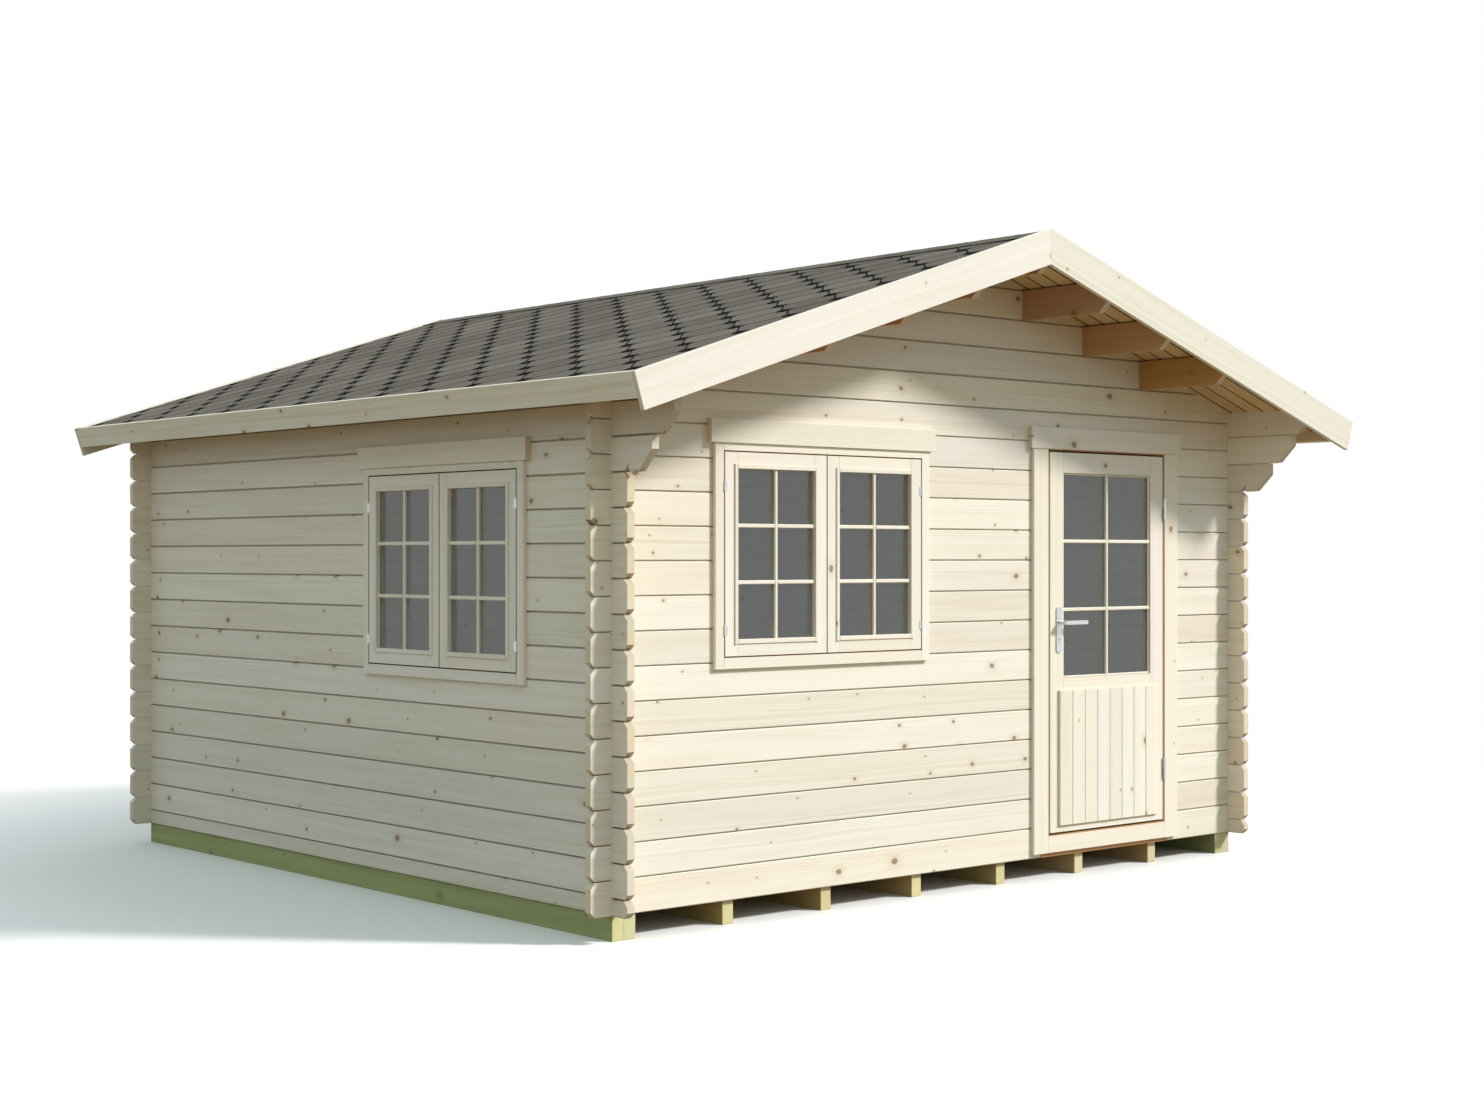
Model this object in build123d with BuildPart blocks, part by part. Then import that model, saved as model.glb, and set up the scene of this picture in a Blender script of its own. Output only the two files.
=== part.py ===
# Guest cabin of interlocking notched logs under a low gable roof.
# Frame: +X to the right of the front, +Y to the back, +Z up.
# Origin: on the ground, under the ridge, midway between the front and back barge boards.

import os
from math import ceil, cos, radians, sin, tan

from build123d import *

os.makedirs("parts", exist_ok=True)

# Walls, measured over the outer faces of the logs
wall_width = 3808
wall_depth = 3808
log_thickness = 34
course_height = 132
log_projection = 96
courses_over_door = 1
side_shift_share = 0.5

# Log section and corner joint
course_joint = 0.4
seam_chamfer = 3.5
seam_relief = 3
tongue_width = 12
tongue_height = 9
tongue_clearance = 0.6
notch_share = 0.25
notch_clearance = 0.3
end_chamfer = 22

# Stepped brackets where the top side logs run out under the front overhang
upper_bracket_reach = 368
lower_bracket_reach = 240
bracket_chamfer = 80

# Bearers and joists
bearer_width = 55
bearer_height = 97
joist_count = 6
joist_pitch = 525
bearer_setback = 10
joist_setback = 24
bearer_joint = 0.3
floor_thickness = 28
floor_edge_gap = 5

# Roof
roof_pitch = 18
front_overhang = 495
back_overhang = 240
eave_overhang = 281
roof_board_thickness = 28
shingle_thickness = 14
edge_upstand = 6
barge_width = 142
barge_thickness = 20
fascia_width = 98
fascia_thickness = 20
ridge_cap_half_width = 125
ridge_cap_thickness = 5
purlin_seat = 8
purlin_tip_chamfer = 42
seat_clearance = 0.3

# Windows: two casements side by side in one frame
window_opening_width = 1094
window_opening_height = 803
front_window_offset = -819
side_window_offset = 1130
courses_over_window = 1
window_frame_thickness = 20
window_frame_depth = 52
window_stop_width = 12
frame_fit = 2
casing_thickness = 18
window_casing_width = 45
window_casing_lap = 30
head_board_height = 93
head_board_thickness = 28
window_head_overhang = 28
sash_gap = 3
sash_depth = 36
sash_stile_width = 66
glass_thickness = 4
glass_rebate = 8
glass_fit = 0.4

# Door
door_offset = 947
leaf_width = 800
leaf_height = 1698
leaf_bottom = 106
leaf_thickness = 40
leaf_proud = 16
door_gap = 8
jamb_thickness = 38
jamb_depth = 56
stop_width = 10
stop_gap = 6
door_casing_width = 96
casing_reveal = 5
threshold_height = 92
threshold_board_height = 73
door_head_height = 97
door_head_thickness = 24
door_head_overhang = 20
stile_width = 92
top_rail_height = 91
lock_rail_height = 84
bottom_rail_height = 120
glazing_sill = 687
panel_board_count = 8
panel_board_thickness = 12
panel_side_margin = 54
panel_bottom_margin = 28
panel_height = 606
panel_edge_chamfer = 3
board_joint = 0.4

# Door hinges
hinge_length = 96
hinge_plate_thickness = 2
hinge_plate_depth = 30
knuckle_radius = 6.5
pin_radius = 3.5
pin_clearance = 0.3
knuckle_gap = 0.5
hinge_end_margin = 195

# Door handle
handle_height = 1043
handle_backset = 58
handle_plate_width = 38
handle_plate_height = 205
handle_plate_thickness = 5
handle_plate_corner_share = 1 / 3
handle_plate_drop = 32
spindle_radius = 4.5
spindle_clearance = 0.5
neck_radius = 9
lever_standoff = 46
lever_length = 135
lever_height = 18
lever_depth = 10
lever_gap = 1

# One overrun serves every cut
overrun = 10

# Places worked out from the sizes above
pitch = radians(roof_pitch)
half_width = wall_width / 2
eave_reach = half_width + eave_overhang
wall_shift = (front_overhang - back_overhang) / 2
front_face = wall_shift - wall_depth / 2
back_face = wall_shift + wall_depth / 2
sill_level = bearer_height
groove_depth = tongue_height + tongue_clearance
door_rise = leaf_bottom + leaf_height + door_gap + jamb_thickness + frame_fit - groove_depth
door_courses = ceil(door_rise / course_height)
courses_to_eave = door_courses + courses_over_door
courses_to_ridge = courses_to_eave + ceil(half_width * tan(pitch) / course_height)
window_cut_height = window_opening_height + 2 * (window_frame_thickness + frame_fit)
window_courses = ceil(window_cut_height / course_height)
front_window_course = courses_to_eave - courses_over_window - window_courses
side_window_course = front_window_course - side_shift_share
roof_front = front_face - front_overhang
roof_back = back_face + back_overhang
deck_front = roof_front + barge_thickness + seat_clearance
deck_back = roof_back - barge_thickness - seat_clearance
soffit_apex = sill_level + courses_to_ridge * course_height
shingle_top = roof_board_thickness + shingle_thickness
roof_edge_rise = shingle_top + edge_upstand
eave_run = (eave_reach - roof_edge_rise * sin(pitch)) / cos(pitch)
deck_run = eave_run - fascia_thickness - seat_clearance


def course_level(course):
    """Height of a course line above the ground, counted in courses from the sill."""
    return sill_level + course * course_height


def soffit_level(x):
    """Height of the underside of the roof boards above a place across the cabin."""
    return soffit_apex - abs(x) * tan(pitch)


def on_roof(side, run, rise):
    """Place in the XZ plane: run down the slope from the ridge, rise square off the soffit."""
    x = run * cos(pitch) + rise * sin(pitch)
    z = soffit_apex - run * sin(pitch) + rise * cos(pitch)
    return (side * x, z)


def mitre_run(rise):
    """Run at which a roof layer meets its neighbour at the ridge, half a seat clearance off centre."""
    return (seat_clearance / 2 - rise * sin(pitch)) / cos(pitch)


def save(name, piece):
    """Name a finished piece and write it as its own file."""
    piece.part.label = name
    export_step(piece.part, f"parts/{name}.step")


def block(low, high, mode=Mode.ADD):
    """Box between two corners, inside the part that is being built."""
    centre = tuple((a + b) / 2 for a, b in zip(low, high))
    size = [b - a for a, b in zip(low, high)]
    with Locations(centre):
        Box(*size, mode=mode)


def outline_faces(plane, outlines):
    """Flat faces inside closed outlines on one plane."""
    with BuildSketch(plane) as faces:
        for points in outlines:
            with BuildLine():
                Polyline(*points, close=True)
            make_face()
    return faces.sketch


def along_y(outlines, start, end, mode=Mode.ADD):
    """Outlines in the XZ plane carried along Y."""
    extrude(outline_faces(Plane.XZ.offset(-end), outlines), amount=end - start, mode=mode)


def along_x(outlines, start, end, mode=Mode.ADD):
    """Outlines in the YZ plane carried along X."""
    extrude(outline_faces(Plane.YZ.offset(start), outlines), amount=end - start, mode=mode)


def rectangle(left, right, low, high):
    """Corners of an upright rectangle."""
    return [(left, low), (right, low), (right, high), (left, high)]


def log_outline(outer, inward, bottom, top, groove=True):
    """Section of a log: eased long edges, a groove underneath and a relieved outer seam."""
    middle = log_thickness / 2
    groove_half = tongue_width / 2 + tongue_clearance
    low = bottom + course_joint / 2
    high = top - course_joint / 2
    outer_low = low + seam_relief if groove else low
    section = [(0, outer_low + seam_chamfer), (0, high - seam_chamfer), (seam_chamfer, high)]
    section += [(log_thickness - seam_chamfer, high), (log_thickness, high - seam_chamfer)]
    section += [(log_thickness, low + seam_chamfer), (log_thickness - seam_chamfer, low)]
    if groove:
        section += [(middle + groove_half, low), (middle + groove_half, low + groove_depth)]
        section += [(middle - groove_half, low + groove_depth), (middle - groove_half, outer_low)]
    section += [(seam_chamfer, outer_low)]
    return [(outer + inward * depth, level) for depth, level in section]


def tongue_outline(outer, inward, top):
    """Section of the tongue on top of a log, which stops short of the crossing logs."""
    left, right = sorted(outer + inward * (log_thickness + hand * tongue_width) / 2 for hand in (-1, 1))
    high = top - course_joint / 2
    return rectangle(left, right, high, high + tongue_height)


def above_roof():
    """Outline of all that lies above the underside of the roof boards."""
    drop = seat_clearance / cos(pitch)
    top = soffit_apex + course_height
    slope = [(side * eave_reach, soffit_level(eave_reach) - drop) for side in (1, -1)]
    return [(0, soffit_apex - drop), slope[0], (eave_reach, top), (-eave_reach, top), slope[1]]


def end_bevel(end, outward, level):
    """Outline that bevels the log ends above and below one course line."""
    reach = end_chamfer + overrun
    lip = end + outward * overrun
    return [(lip, level - reach), (end - outward * end_chamfer, level), (lip, level + reach)]


def under_bevel(tip, inward, base, size):
    """Outline that bevels the underside of a log at its tip."""
    lip = tip - inward * overrun
    under = base - overrun
    reach = size + overrun
    return [(lip, under), (tip + inward * reach, under), (lip, base + reach)]


# Purlins: log boards whose outer top edge carries the roof boards, one course apart
purlin_numbers = range(1, courses_to_ridge - courses_to_eave - 1)


def purlin_outer(number):
    """Outer face of a purlin, set so that its planed top edge seats under the roof boards."""
    return number * course_height / tan(pitch) + purlin_seat


def purlin_base(number):
    """Height of the underside of a purlin, on a course line of the gable."""
    return course_level(courses_to_ridge - number - 1)


# Window places along their walls and over the sill
window_cut_width = window_opening_width + 2 * (window_frame_thickness + frame_fit)
front_window_bottom = course_level(front_window_course)
side_window_bottom = course_level(side_window_course)
side_window_centre = front_face + side_window_offset

# Door places
leaf_left = door_offset - leaf_width / 2
leaf_right = door_offset + leaf_width / 2
leaf_sill = sill_level + leaf_bottom
leaf_top = leaf_sill + leaf_height
leaf_outer = front_face - leaf_proud
leaf_inner = leaf_outer + leaf_thickness
jamb_left = leaf_left - door_gap
jamb_right = leaf_right + door_gap
jamb_top = leaf_top + door_gap
door_cut_left = jamb_left - jamb_thickness - frame_fit
door_cut_right = jamb_right + jamb_thickness + frame_fit
door_cut_top = course_level(door_courses) + groove_depth

# Bearers under the side walls in pairs, and the joists between them
pair_centre = (joist_count + 1) / 2 * joist_pitch
with BuildPart() as side_bearers:
    start = front_face + bearer_setback
    end = back_face - bearer_setback
    for side in (-1, 1):
        for hand in (-1, 1):
            centre = side * pair_centre + hand * bearer_width / 2
            left = centre - bearer_width / 2 + bearer_joint / 2
            right = centre + bearer_width / 2 - bearer_joint / 2
            block((left, start, 0), (right, end, bearer_height))
save("side_bearers", side_bearers)

with BuildPart() as floor_joists:
    start = front_face + joist_setback
    end = back_face - joist_setback
    for number in range(joist_count):
        centre = (number - (joist_count - 1) / 2) * joist_pitch
        block((centre - bearer_width / 2, start, 0), (centre + bearer_width / 2, end, bearer_height))
save("floor_joists", floor_joists)

with BuildPart() as floor_boards:
    inset = log_thickness + floor_edge_gap
    block(
        (inset - half_width, front_face + inset, sill_level),
        (half_width - inset, back_face - inset, sill_level + floor_thickness),
    )
save("floor_boards", floor_boards)


def end_wall(outer, inward, openings):
    """Front or back wall up to the eave: full courses notched over the side walls."""
    reach = half_width + log_projection
    near, far = sorted((outer - inward * overrun, outer + inward * (log_thickness + overrun)))
    lines = [course_level(course) for course in range(courses_to_eave + 1)]
    half_notch = course_height * notch_share + course_joint / 2
    logs = [
        log_outline(outer, inward, bottom, top, groove=bottom > sill_level)
        for bottom, top in zip(lines, lines[1:])
    ]
    cuts = list(openings)
    for side in (-1, 1):
        left, right = sorted((side * half_width, side * (half_width - log_thickness)))
        for level in lines:
            notch = (left - notch_clearance, right + notch_clearance, level - half_notch, level + half_notch)
            cuts.append(rectangle(*notch))
            cuts.append(end_bevel(side * reach, side, level))
    tongue_reach = half_width - log_thickness
    with BuildPart() as wall:
        along_x(logs, -reach, reach)
        along_x([tongue_outline(outer, inward, top) for top in lines[1:]], -tongue_reach, tongue_reach)
        along_y(cuts, near, far, mode=Mode.SUBTRACT)
    return wall


def gable(outer, inward):
    """Gable courses over the eave, cut to the slope and notched for the purlins."""
    reach = half_width - log_thickness - notch_clearance
    near, far = sorted((outer - inward * overrun, outer + inward * (log_thickness + overrun)))
    lines = [course_level(course) for course in range(courses_to_eave, courses_to_ridge + 1)]
    logs = [log_outline(outer, inward, bottom, top) for bottom, top in zip(lines, lines[1:])]
    half = log_thickness / 2 + notch_clearance
    cuts = [above_roof()]
    cuts.append(rectangle(-half, half, purlin_base(0) + course_height / 2, soffit_apex))
    for number in purlin_numbers:
        inner = purlin_outer(number) - log_thickness - notch_clearance
        outer_face = purlin_outer(number) + notch_clearance
        base = purlin_base(number) + course_height / 2
        for side in (-1, 1):
            left, right = sorted((side * inner, side * outer_face))
            cuts.append(rectangle(left, right, base, base + course_height / 2 + tongue_height + overrun))
    with BuildPart() as wall:
        along_x(logs, -reach, reach)
        along_x([tongue_outline(outer, inward, top) for top in lines[1:-1]], -reach, reach)
        along_y(cuts, near, far, mode=Mode.SUBTRACT)
    return wall


front_openings = [
    rectangle(
        front_window_offset - window_cut_width / 2,
        front_window_offset + window_cut_width / 2,
        front_window_bottom,
        front_window_bottom + window_cut_height,
    ),
    rectangle(door_cut_left, door_cut_right, sill_level - overrun, door_cut_top),
]
save("front_wall_logs", end_wall(front_face, 1, front_openings))
save("back_wall_logs", end_wall(back_face, -1, []))
save("front_gable_logs", gable(front_face, 1))
save("back_gable_logs", gable(back_face, -1))


# Corners where the side walls cross the front and back walls: face and direction into the cabin
corners = ((front_face, 1), (back_face, -1))


def corner_notches(lines):
    """Outlines that notch side logs over the front and back walls at each course line."""
    half_notch = course_height * notch_share + course_joint / 2
    notches = []
    for face, inward in corners:
        start, end = sorted((face, face + inward * log_thickness))
        for level in lines:
            notch = (start - notch_clearance, end + notch_clearance, level - half_notch, level + half_notch)
            notches.append(rectangle(*notch))
    return notches


def side_wall(side, openings):
    """Side wall: a half log on the bearers, then courses half a course above the front wall's."""
    outer = side * half_width
    near, far = sorted((outer + side * overrun, outer - side * (log_thickness + overrun)))
    front_end = front_face - log_projection
    back_end = back_face + log_projection
    lines = [course_level(course + side_shift_share) for course in range(courses_to_eave)]
    plain_lines = lines[:-2]
    logs = [log_outline(outer, -side, sill_level, lines[0], groove=False)]
    logs += [log_outline(outer, -side, bottom, top) for bottom, top in zip(plain_lines, plain_lines[1:])]
    cuts = list(openings) + corner_notches(lines)
    cuts += [end_bevel(front_end, -1, level) for level in [sill_level] + plain_lines]
    cuts += [end_bevel(back_end, 1, level) for level in [sill_level] + lines]
    reaches = (lower_bracket_reach, upper_bracket_reach)
    brackets = zip(plain_lines[-1:] + lines[-2:-1], lines[-2:], reaches)
    tongues = [tongue_outline(outer, -side, top) for top in lines]
    with BuildPart() as wall:
        along_y(logs, front_end, back_end)
        along_y(tongues, front_face + log_thickness, back_face - log_thickness)
        for base, top, reach in brackets:
            along_y([log_outline(outer, -side, base, top)], front_face - reach, back_end)
            cuts.append(under_bevel(front_face - reach, 1, base, bracket_chamfer))
        along_x(cuts, near, far, mode=Mode.SUBTRACT)
    return wall


side_openings = [
    rectangle(
        side_window_centre - window_cut_width / 2,
        side_window_centre + window_cut_width / 2,
        side_window_bottom,
        side_window_bottom + window_cut_height,
    )
]
save("left_wall_logs", side_wall(-1, side_openings))
save("right_wall_logs", side_wall(1, []))

# Tips of the timbers that run out to the barge boards
tips = ((deck_front, 1), (deck_back, -1))


def top_log(side):
    """Top log of a side wall: its upper face is planed to the roof and its tips are bevelled."""
    outer = side * half_width
    near, far = sorted((outer + side * overrun, outer - side * (log_thickness + overrun)))
    base = course_level(courses_to_eave - 1 + side_shift_share)
    cuts = corner_notches([base])
    cuts += [under_bevel(tip, inward, base, bracket_chamfer) for tip, inward in tips]
    section = log_outline(outer, -side, base, base + course_height)
    with BuildPart() as log:
        along_y([section], deck_front, deck_back)
        along_x(cuts, near, far, mode=Mode.SUBTRACT)
        along_y([above_roof()], deck_front - overrun, deck_back + overrun, mode=Mode.SUBTRACT)
    return log


save("left_top_log", top_log(-1))
save("right_top_log", top_log(1))


def purlin_cuts(base):
    """Outlines that notch a purlin over both gables and bevel its lower tips."""
    cuts = [under_bevel(tip, inward, base, purlin_tip_chamfer) for tip, inward in tips]
    for face, inward in corners:
        start, end = sorted((face, face + inward * log_thickness))
        top = base + course_height / 2 + course_joint
        cuts.append(rectangle(start - notch_clearance, end + notch_clearance, base - overrun, top))
    return cuts


with BuildPart() as ridge_purlin:
    half = log_thickness / 2
    base = purlin_base(0) + course_joint / 2
    drop = seat_clearance / cos(pitch)
    outline = [(-half, base), (half, base), (half, soffit_level(half) - drop), (0, soffit_apex - drop)]
    outline += [(-half, soffit_level(half) - drop)]
    along_y([outline], deck_front, deck_back)
    along_x(purlin_cuts(base), -half - overrun, half + overrun, mode=Mode.SUBTRACT)
save("ridge_purlin", ridge_purlin)


def purlin_row(side):
    """Purlins of one slope, each with its outer top edge planed to seat under the roof boards."""
    drop = seat_clearance / cos(pitch)
    with BuildPart() as row:
        for number in purlin_numbers:
            outer = purlin_outer(number)
            inner = outer - log_thickness
            base = purlin_base(number) + course_joint / 2
            top = purlin_base(number) + course_height - drop
            outline = [(inner, base), (outer, base), (outer, soffit_level(outer) - drop)]
            outline += [(outer - purlin_seat, top), (inner, top)]
            along_y([[(side * x, z) for x, z in outline]], deck_front, deck_back)
            near, far = sorted((side * (inner - overrun), side * (outer + overrun)))
            along_x(purlin_cuts(base), near, far, mode=Mode.SUBTRACT)
    return row


save("left_purlins", purlin_row(-1))
save("right_purlins", purlin_row(1))


def roof_layer(side, low, high, run, start, end):
    """Layer of one slope between two heights off the soffit, mitred at the ridge, square at the eave."""
    with BuildPart() as layer:
        outline = [on_roof(side, mitre_run(low), low), on_roof(side, run, low)]
        outline += [on_roof(side, run, high), on_roof(side, mitre_run(high), high)]
        along_y([outline], start, end)
    return layer


for side, hand in ((-1, "left"), (1, "right")):
    boards = roof_layer(side, 0, roof_board_thickness, deck_run, deck_front, deck_back)
    save(f"{hand}_roof_boards", boards)
    shingle_base = roof_board_thickness + seat_clearance
    shingles = roof_layer(side, shingle_base, shingle_top, deck_run, deck_front, deck_back)
    save(f"{hand}_shingles", shingles)

with BuildPart() as ridge_cap:
    cap_low = shingle_top + seat_clearance
    cap_high = shingle_top + ridge_cap_thickness
    outline = [on_roof(1, ridge_cap_half_width, cap_low), on_roof(1, ridge_cap_half_width, cap_high)]
    outline += [(0, soffit_apex + cap_high / cos(pitch))]
    outline += [on_roof(-1, ridge_cap_half_width, cap_high), on_roof(-1, ridge_cap_half_width, cap_low)]
    outline += [(0, soffit_apex + cap_low / cos(pitch))]
    along_y([outline], deck_front, deck_back)
save("ridge_cap", ridge_cap)


def barge_pair(start, end):
    """Two barge boards that meet in a mitre at the ridge and end square to the slope."""
    low = roof_edge_rise - barge_width
    with BuildPart() as boards:
        for side in (-1, 1):
            outline = [on_roof(side, mitre_run(low), low), on_roof(side, eave_run, low)]
            outline += [on_roof(side, eave_run, roof_edge_rise)]
            outline += [on_roof(side, mitre_run(roof_edge_rise), roof_edge_rise)]
            along_y([outline], start, end)
    return boards


save("front_barge_boards", barge_pair(roof_front, roof_front + barge_thickness))
save("back_barge_boards", barge_pair(roof_back - barge_thickness, roof_back))

for side, hand in ((-1, "left"), (1, "right")):
    with BuildPart() as fascia:
        low = roof_edge_rise - fascia_width
        inner_run = eave_run - fascia_thickness
        outline = [on_roof(side, inner_run, low), on_roof(side, eave_run, low)]
        outline += [on_roof(side, eave_run, roof_edge_rise), on_roof(side, inner_run, roof_edge_rise)]
        along_y([outline], deck_front, deck_back)
    save(f"{hand}_eave_fascia", fascia)


def front_block(along, outward, levels, mode=Mode.ADD):
    """Box on the front wall: a span across, a span out from its face, a span of heights."""
    block(
        (along[0], front_face - outward[1], levels[0]),
        (along[1], front_face - outward[0], levels[1]),
        mode,
    )


def left_block(along, outward, levels, mode=Mode.ADD):
    """Box on the left wall: a span along, a span out from its face, a span of heights."""
    block(
        (-half_width - outward[1], along[0], levels[0]),
        (-half_width - outward[0], along[1], levels[1]),
        mode,
    )


def window(name, centre, cut_bottom, wall_block):
    """Frame, casings, head board, two sashes and their panes, set in a cut through one wall."""
    left = centre - window_opening_width / 2
    right = centre + window_opening_width / 2
    bottom = cut_bottom + frame_fit + window_frame_thickness
    top = bottom + window_opening_height
    frame_span = (casing_thickness - window_frame_depth, -seat_clearance)
    stop_span = (frame_span[0], casing_thickness - sash_depth - seat_clearance)
    outer = window_frame_thickness

    with BuildPart() as frame:
        for start, end, stop in (
            (left - outer, left, (left - outer, left + window_stop_width)),
            (right, right + outer, (right - window_stop_width, right + outer)),
        ):
            wall_block((start, end), frame_span, (bottom, top))
            wall_block(stop, stop_span, (bottom, top))
        rail = (left - outer, right + outer)
        wall_block(rail, frame_span, (bottom - outer, bottom - seat_clearance))
        wall_block(rail, frame_span, (top + seat_clearance, top + outer))
    save(f"{name}_frame", frame)

    casing_span = (0, casing_thickness)
    with BuildPart() as casing:
        low = bottom - window_casing_width
        high = top + window_casing_lap
        wall_block((left - window_casing_width, left), casing_span, (low, high))
        wall_block((right, right + window_casing_width), casing_span, (low, high))
        inner = (left + seat_clearance, right - seat_clearance)
        wall_block(inner, casing_span, (low, bottom))
        wall_block(inner, casing_span, (top, high))
    save(f"{name}_casing", casing)

    with BuildPart() as head_board:
        ends = window_casing_width + window_head_overhang
        levels = (high + seat_clearance, high + head_board_height)
        wall_block((left - ends, right + ends), (0, head_board_thickness), levels)
    save(f"{name}_head_board", head_board)

    sash_width = (window_opening_width - 3 * sash_gap) / 2
    sash_span = (casing_thickness - sash_depth, casing_thickness)
    pane_middle = casing_thickness - sash_depth / 2
    groove_half = glass_thickness / 2 + glass_fit
    rebate = glass_rebate + glass_fit
    sash_low = bottom + sash_gap
    sash_high = top - sash_gap
    pane_low = sash_low + sash_stile_width
    pane_high = sash_high - sash_stile_width
    with BuildPart() as sashes:
        for edge in (left + sash_gap, right - sash_gap - sash_width):
            inner = (edge + sash_stile_width, edge + sash_width - sash_stile_width)
            wall_block((edge, inner[0]), sash_span, (sash_low, sash_high))
            wall_block((inner[1], edge + sash_width), sash_span, (sash_low, sash_high))
            rail = (inner[0] + seat_clearance, inner[1] - seat_clearance)
            wall_block(rail, sash_span, (sash_low, pane_low))
            wall_block(rail, sash_span, (pane_high, sash_high))
            wall_block(
                (inner[0] - rebate, inner[1] + rebate),
                (pane_middle - groove_half, pane_middle + groove_half),
                (pane_low - rebate, pane_high + rebate),
                Mode.SUBTRACT,
            )
    save(f"{name}_sashes", sashes)

    with BuildPart() as panes:
        for edge in (left + sash_gap, right - sash_gap - sash_width):
            inner = (edge + sash_stile_width, edge + sash_width - sash_stile_width)
            wall_block(
                (inner[0] - glass_rebate, inner[1] + glass_rebate),
                (pane_middle - glass_thickness / 2, pane_middle + glass_thickness / 2),
                (pane_low - glass_rebate, pane_high + glass_rebate),
            )
    save(f"{name}_glass", panes)


window("front_window", front_window_offset, front_window_bottom, front_block)
window("side_window", side_window_centre, side_window_bottom, left_block)

# Door frame: jambs with a stop behind the leaf, a head and a threshold on the joists
stop_face = leaf_inner + stop_gap
frame_back = front_face + jamb_depth
with BuildPart() as door_frame:
    threshold_top = sill_level + threshold_height
    for inner, side in ((jamb_left, -1), (jamb_right, 1)):
        low_x, high_x = sorted((inner, inner + side * jamb_thickness))
        block((low_x, front_face + seat_clearance, threshold_top), (high_x, frame_back, jamb_top))
        low_x, high_x = sorted((inner - side * (door_gap + stop_width), inner + side * jamb_thickness))
        block((low_x, stop_face, threshold_top), (high_x, frame_back, jamb_top))
    left = jamb_left - jamb_thickness
    right = jamb_right + jamb_thickness
    frame_front = front_face + seat_clearance
    threshold_back = front_face + log_thickness
    head_top = door_cut_top - frame_fit
    block((left, frame_front, jamb_top + seat_clearance), (right, frame_back, head_top))
    block((left, frame_front, sill_level), (right, threshold_back, threshold_top - seat_clearance))
save("door_frame", door_frame)

casing_inner = door_gap + casing_reveal
casing_top = leaf_top + casing_inner
with BuildPart() as door_casing:
    foot = sill_level + threshold_height - threshold_board_height
    for edge, side in ((leaf_left, -1), (leaf_right, 1)):
        inner = edge + side * casing_inner
        low_x, high_x = sorted((inner, inner + side * door_casing_width))
        front_block((low_x, high_x), (0, casing_thickness), (foot, casing_top))
    across = (leaf_left - casing_inner + seat_clearance, leaf_right + casing_inner - seat_clearance)
    front_block(across, (0, casing_thickness), (foot, sill_level + threshold_height))
save("door_casing", door_casing)

with BuildPart() as door_head_board:
    reach = casing_inner + door_casing_width + door_head_overhang
    levels = (casing_top + seat_clearance, casing_top + door_head_height)
    front_block((leaf_left - reach, leaf_right + reach), (0, door_head_thickness), levels)
save("door_head_board", door_head_board)

# Door leaf: stiles and rails, a pane above the lock rail and applied boards below it
glazing_top = leaf_top - top_rail_height
glazing_bottom = leaf_sill + glazing_sill
spindle_x = leaf_left + handle_backset
spindle_z = sill_level + handle_height
pane_middle = (leaf_outer + leaf_inner) / 2
with BuildPart() as door_leaf_frame:
    inner_left = leaf_left + stile_width
    inner_right = leaf_right - stile_width
    block((leaf_left, leaf_outer, leaf_sill), (inner_left, leaf_inner, leaf_top))
    block((inner_right, leaf_outer, leaf_sill), (leaf_right, leaf_inner, leaf_top))
    rail_left = inner_left + seat_clearance
    rail_right = inner_right - seat_clearance
    for low_z, high_z in (
        (glazing_top, leaf_top),
        (glazing_bottom - lock_rail_height, glazing_bottom),
        (leaf_sill, leaf_sill + bottom_rail_height),
    ):
        block((rail_left, leaf_outer, low_z), (rail_right, leaf_inner, high_z))
    rebate = glass_rebate + glass_fit
    groove_half = glass_thickness / 2 + glass_fit
    block(
        (inner_left - rebate, pane_middle - groove_half, glazing_bottom - rebate),
        (inner_right + rebate, pane_middle + groove_half, glazing_top + rebate),
        mode=Mode.SUBTRACT,
    )
    with BuildSketch(Plane.XZ.offset(-leaf_inner - overrun)):
        with Locations((spindle_x, spindle_z)):
            Circle(spindle_radius + spindle_clearance)
    extrude(amount=leaf_thickness + 2 * overrun, mode=Mode.SUBTRACT)
save("door_leaf_frame", door_leaf_frame)

with BuildPart() as door_glass:
    block(
        (inner_left - glass_rebate, pane_middle - glass_thickness / 2, glazing_bottom - glass_rebate),
        (inner_right + glass_rebate, pane_middle + glass_thickness / 2, glazing_top + glass_rebate),
    )
save("door_glass", door_glass)

with BuildPart() as door_panel_boards:
    board_width = (leaf_width - 2 * panel_side_margin) / panel_board_count
    panel_low = leaf_sill + panel_bottom_margin
    face = leaf_outer - panel_board_thickness
    back = leaf_outer - seat_clearance
    for number in range(panel_board_count):
        left = leaf_left + panel_side_margin + number * board_width + board_joint / 2
        right = left + board_width - board_joint
        block((left, face, panel_low), (right, back, panel_low + panel_height))
    chamfer(door_panel_boards.faces().filter_by(Axis.Y).group_by(Axis.Y)[0].edges(), panel_edge_chamfer)
save("door_panel_boards", door_panel_boards)

# Lift-off hinges: the lower knuckle and pin stay on the jamb, the upper knuckle goes with the leaf
pin_x = leaf_right + door_gap / 2
pin_y = front_face - casing_thickness - knuckle_radius - seat_clearance
plate_back = pin_y + knuckle_radius + hinge_plate_depth
hinge_levels = (leaf_sill + hinge_end_margin, leaf_top - hinge_end_margin - hinge_length)


def knuckle(low, high, bore):
    """Turned barrel of a hinge about the pin, solid or bored for the pin."""
    with BuildSketch(Plane.XY.offset(low)) as ring:
        with Locations((pin_x, pin_y)):
            Circle(knuckle_radius)
            if bore:
                Circle(pin_radius + pin_clearance, mode=Mode.SUBTRACT)
    extrude(ring.sketch, amount=high - low)


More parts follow.
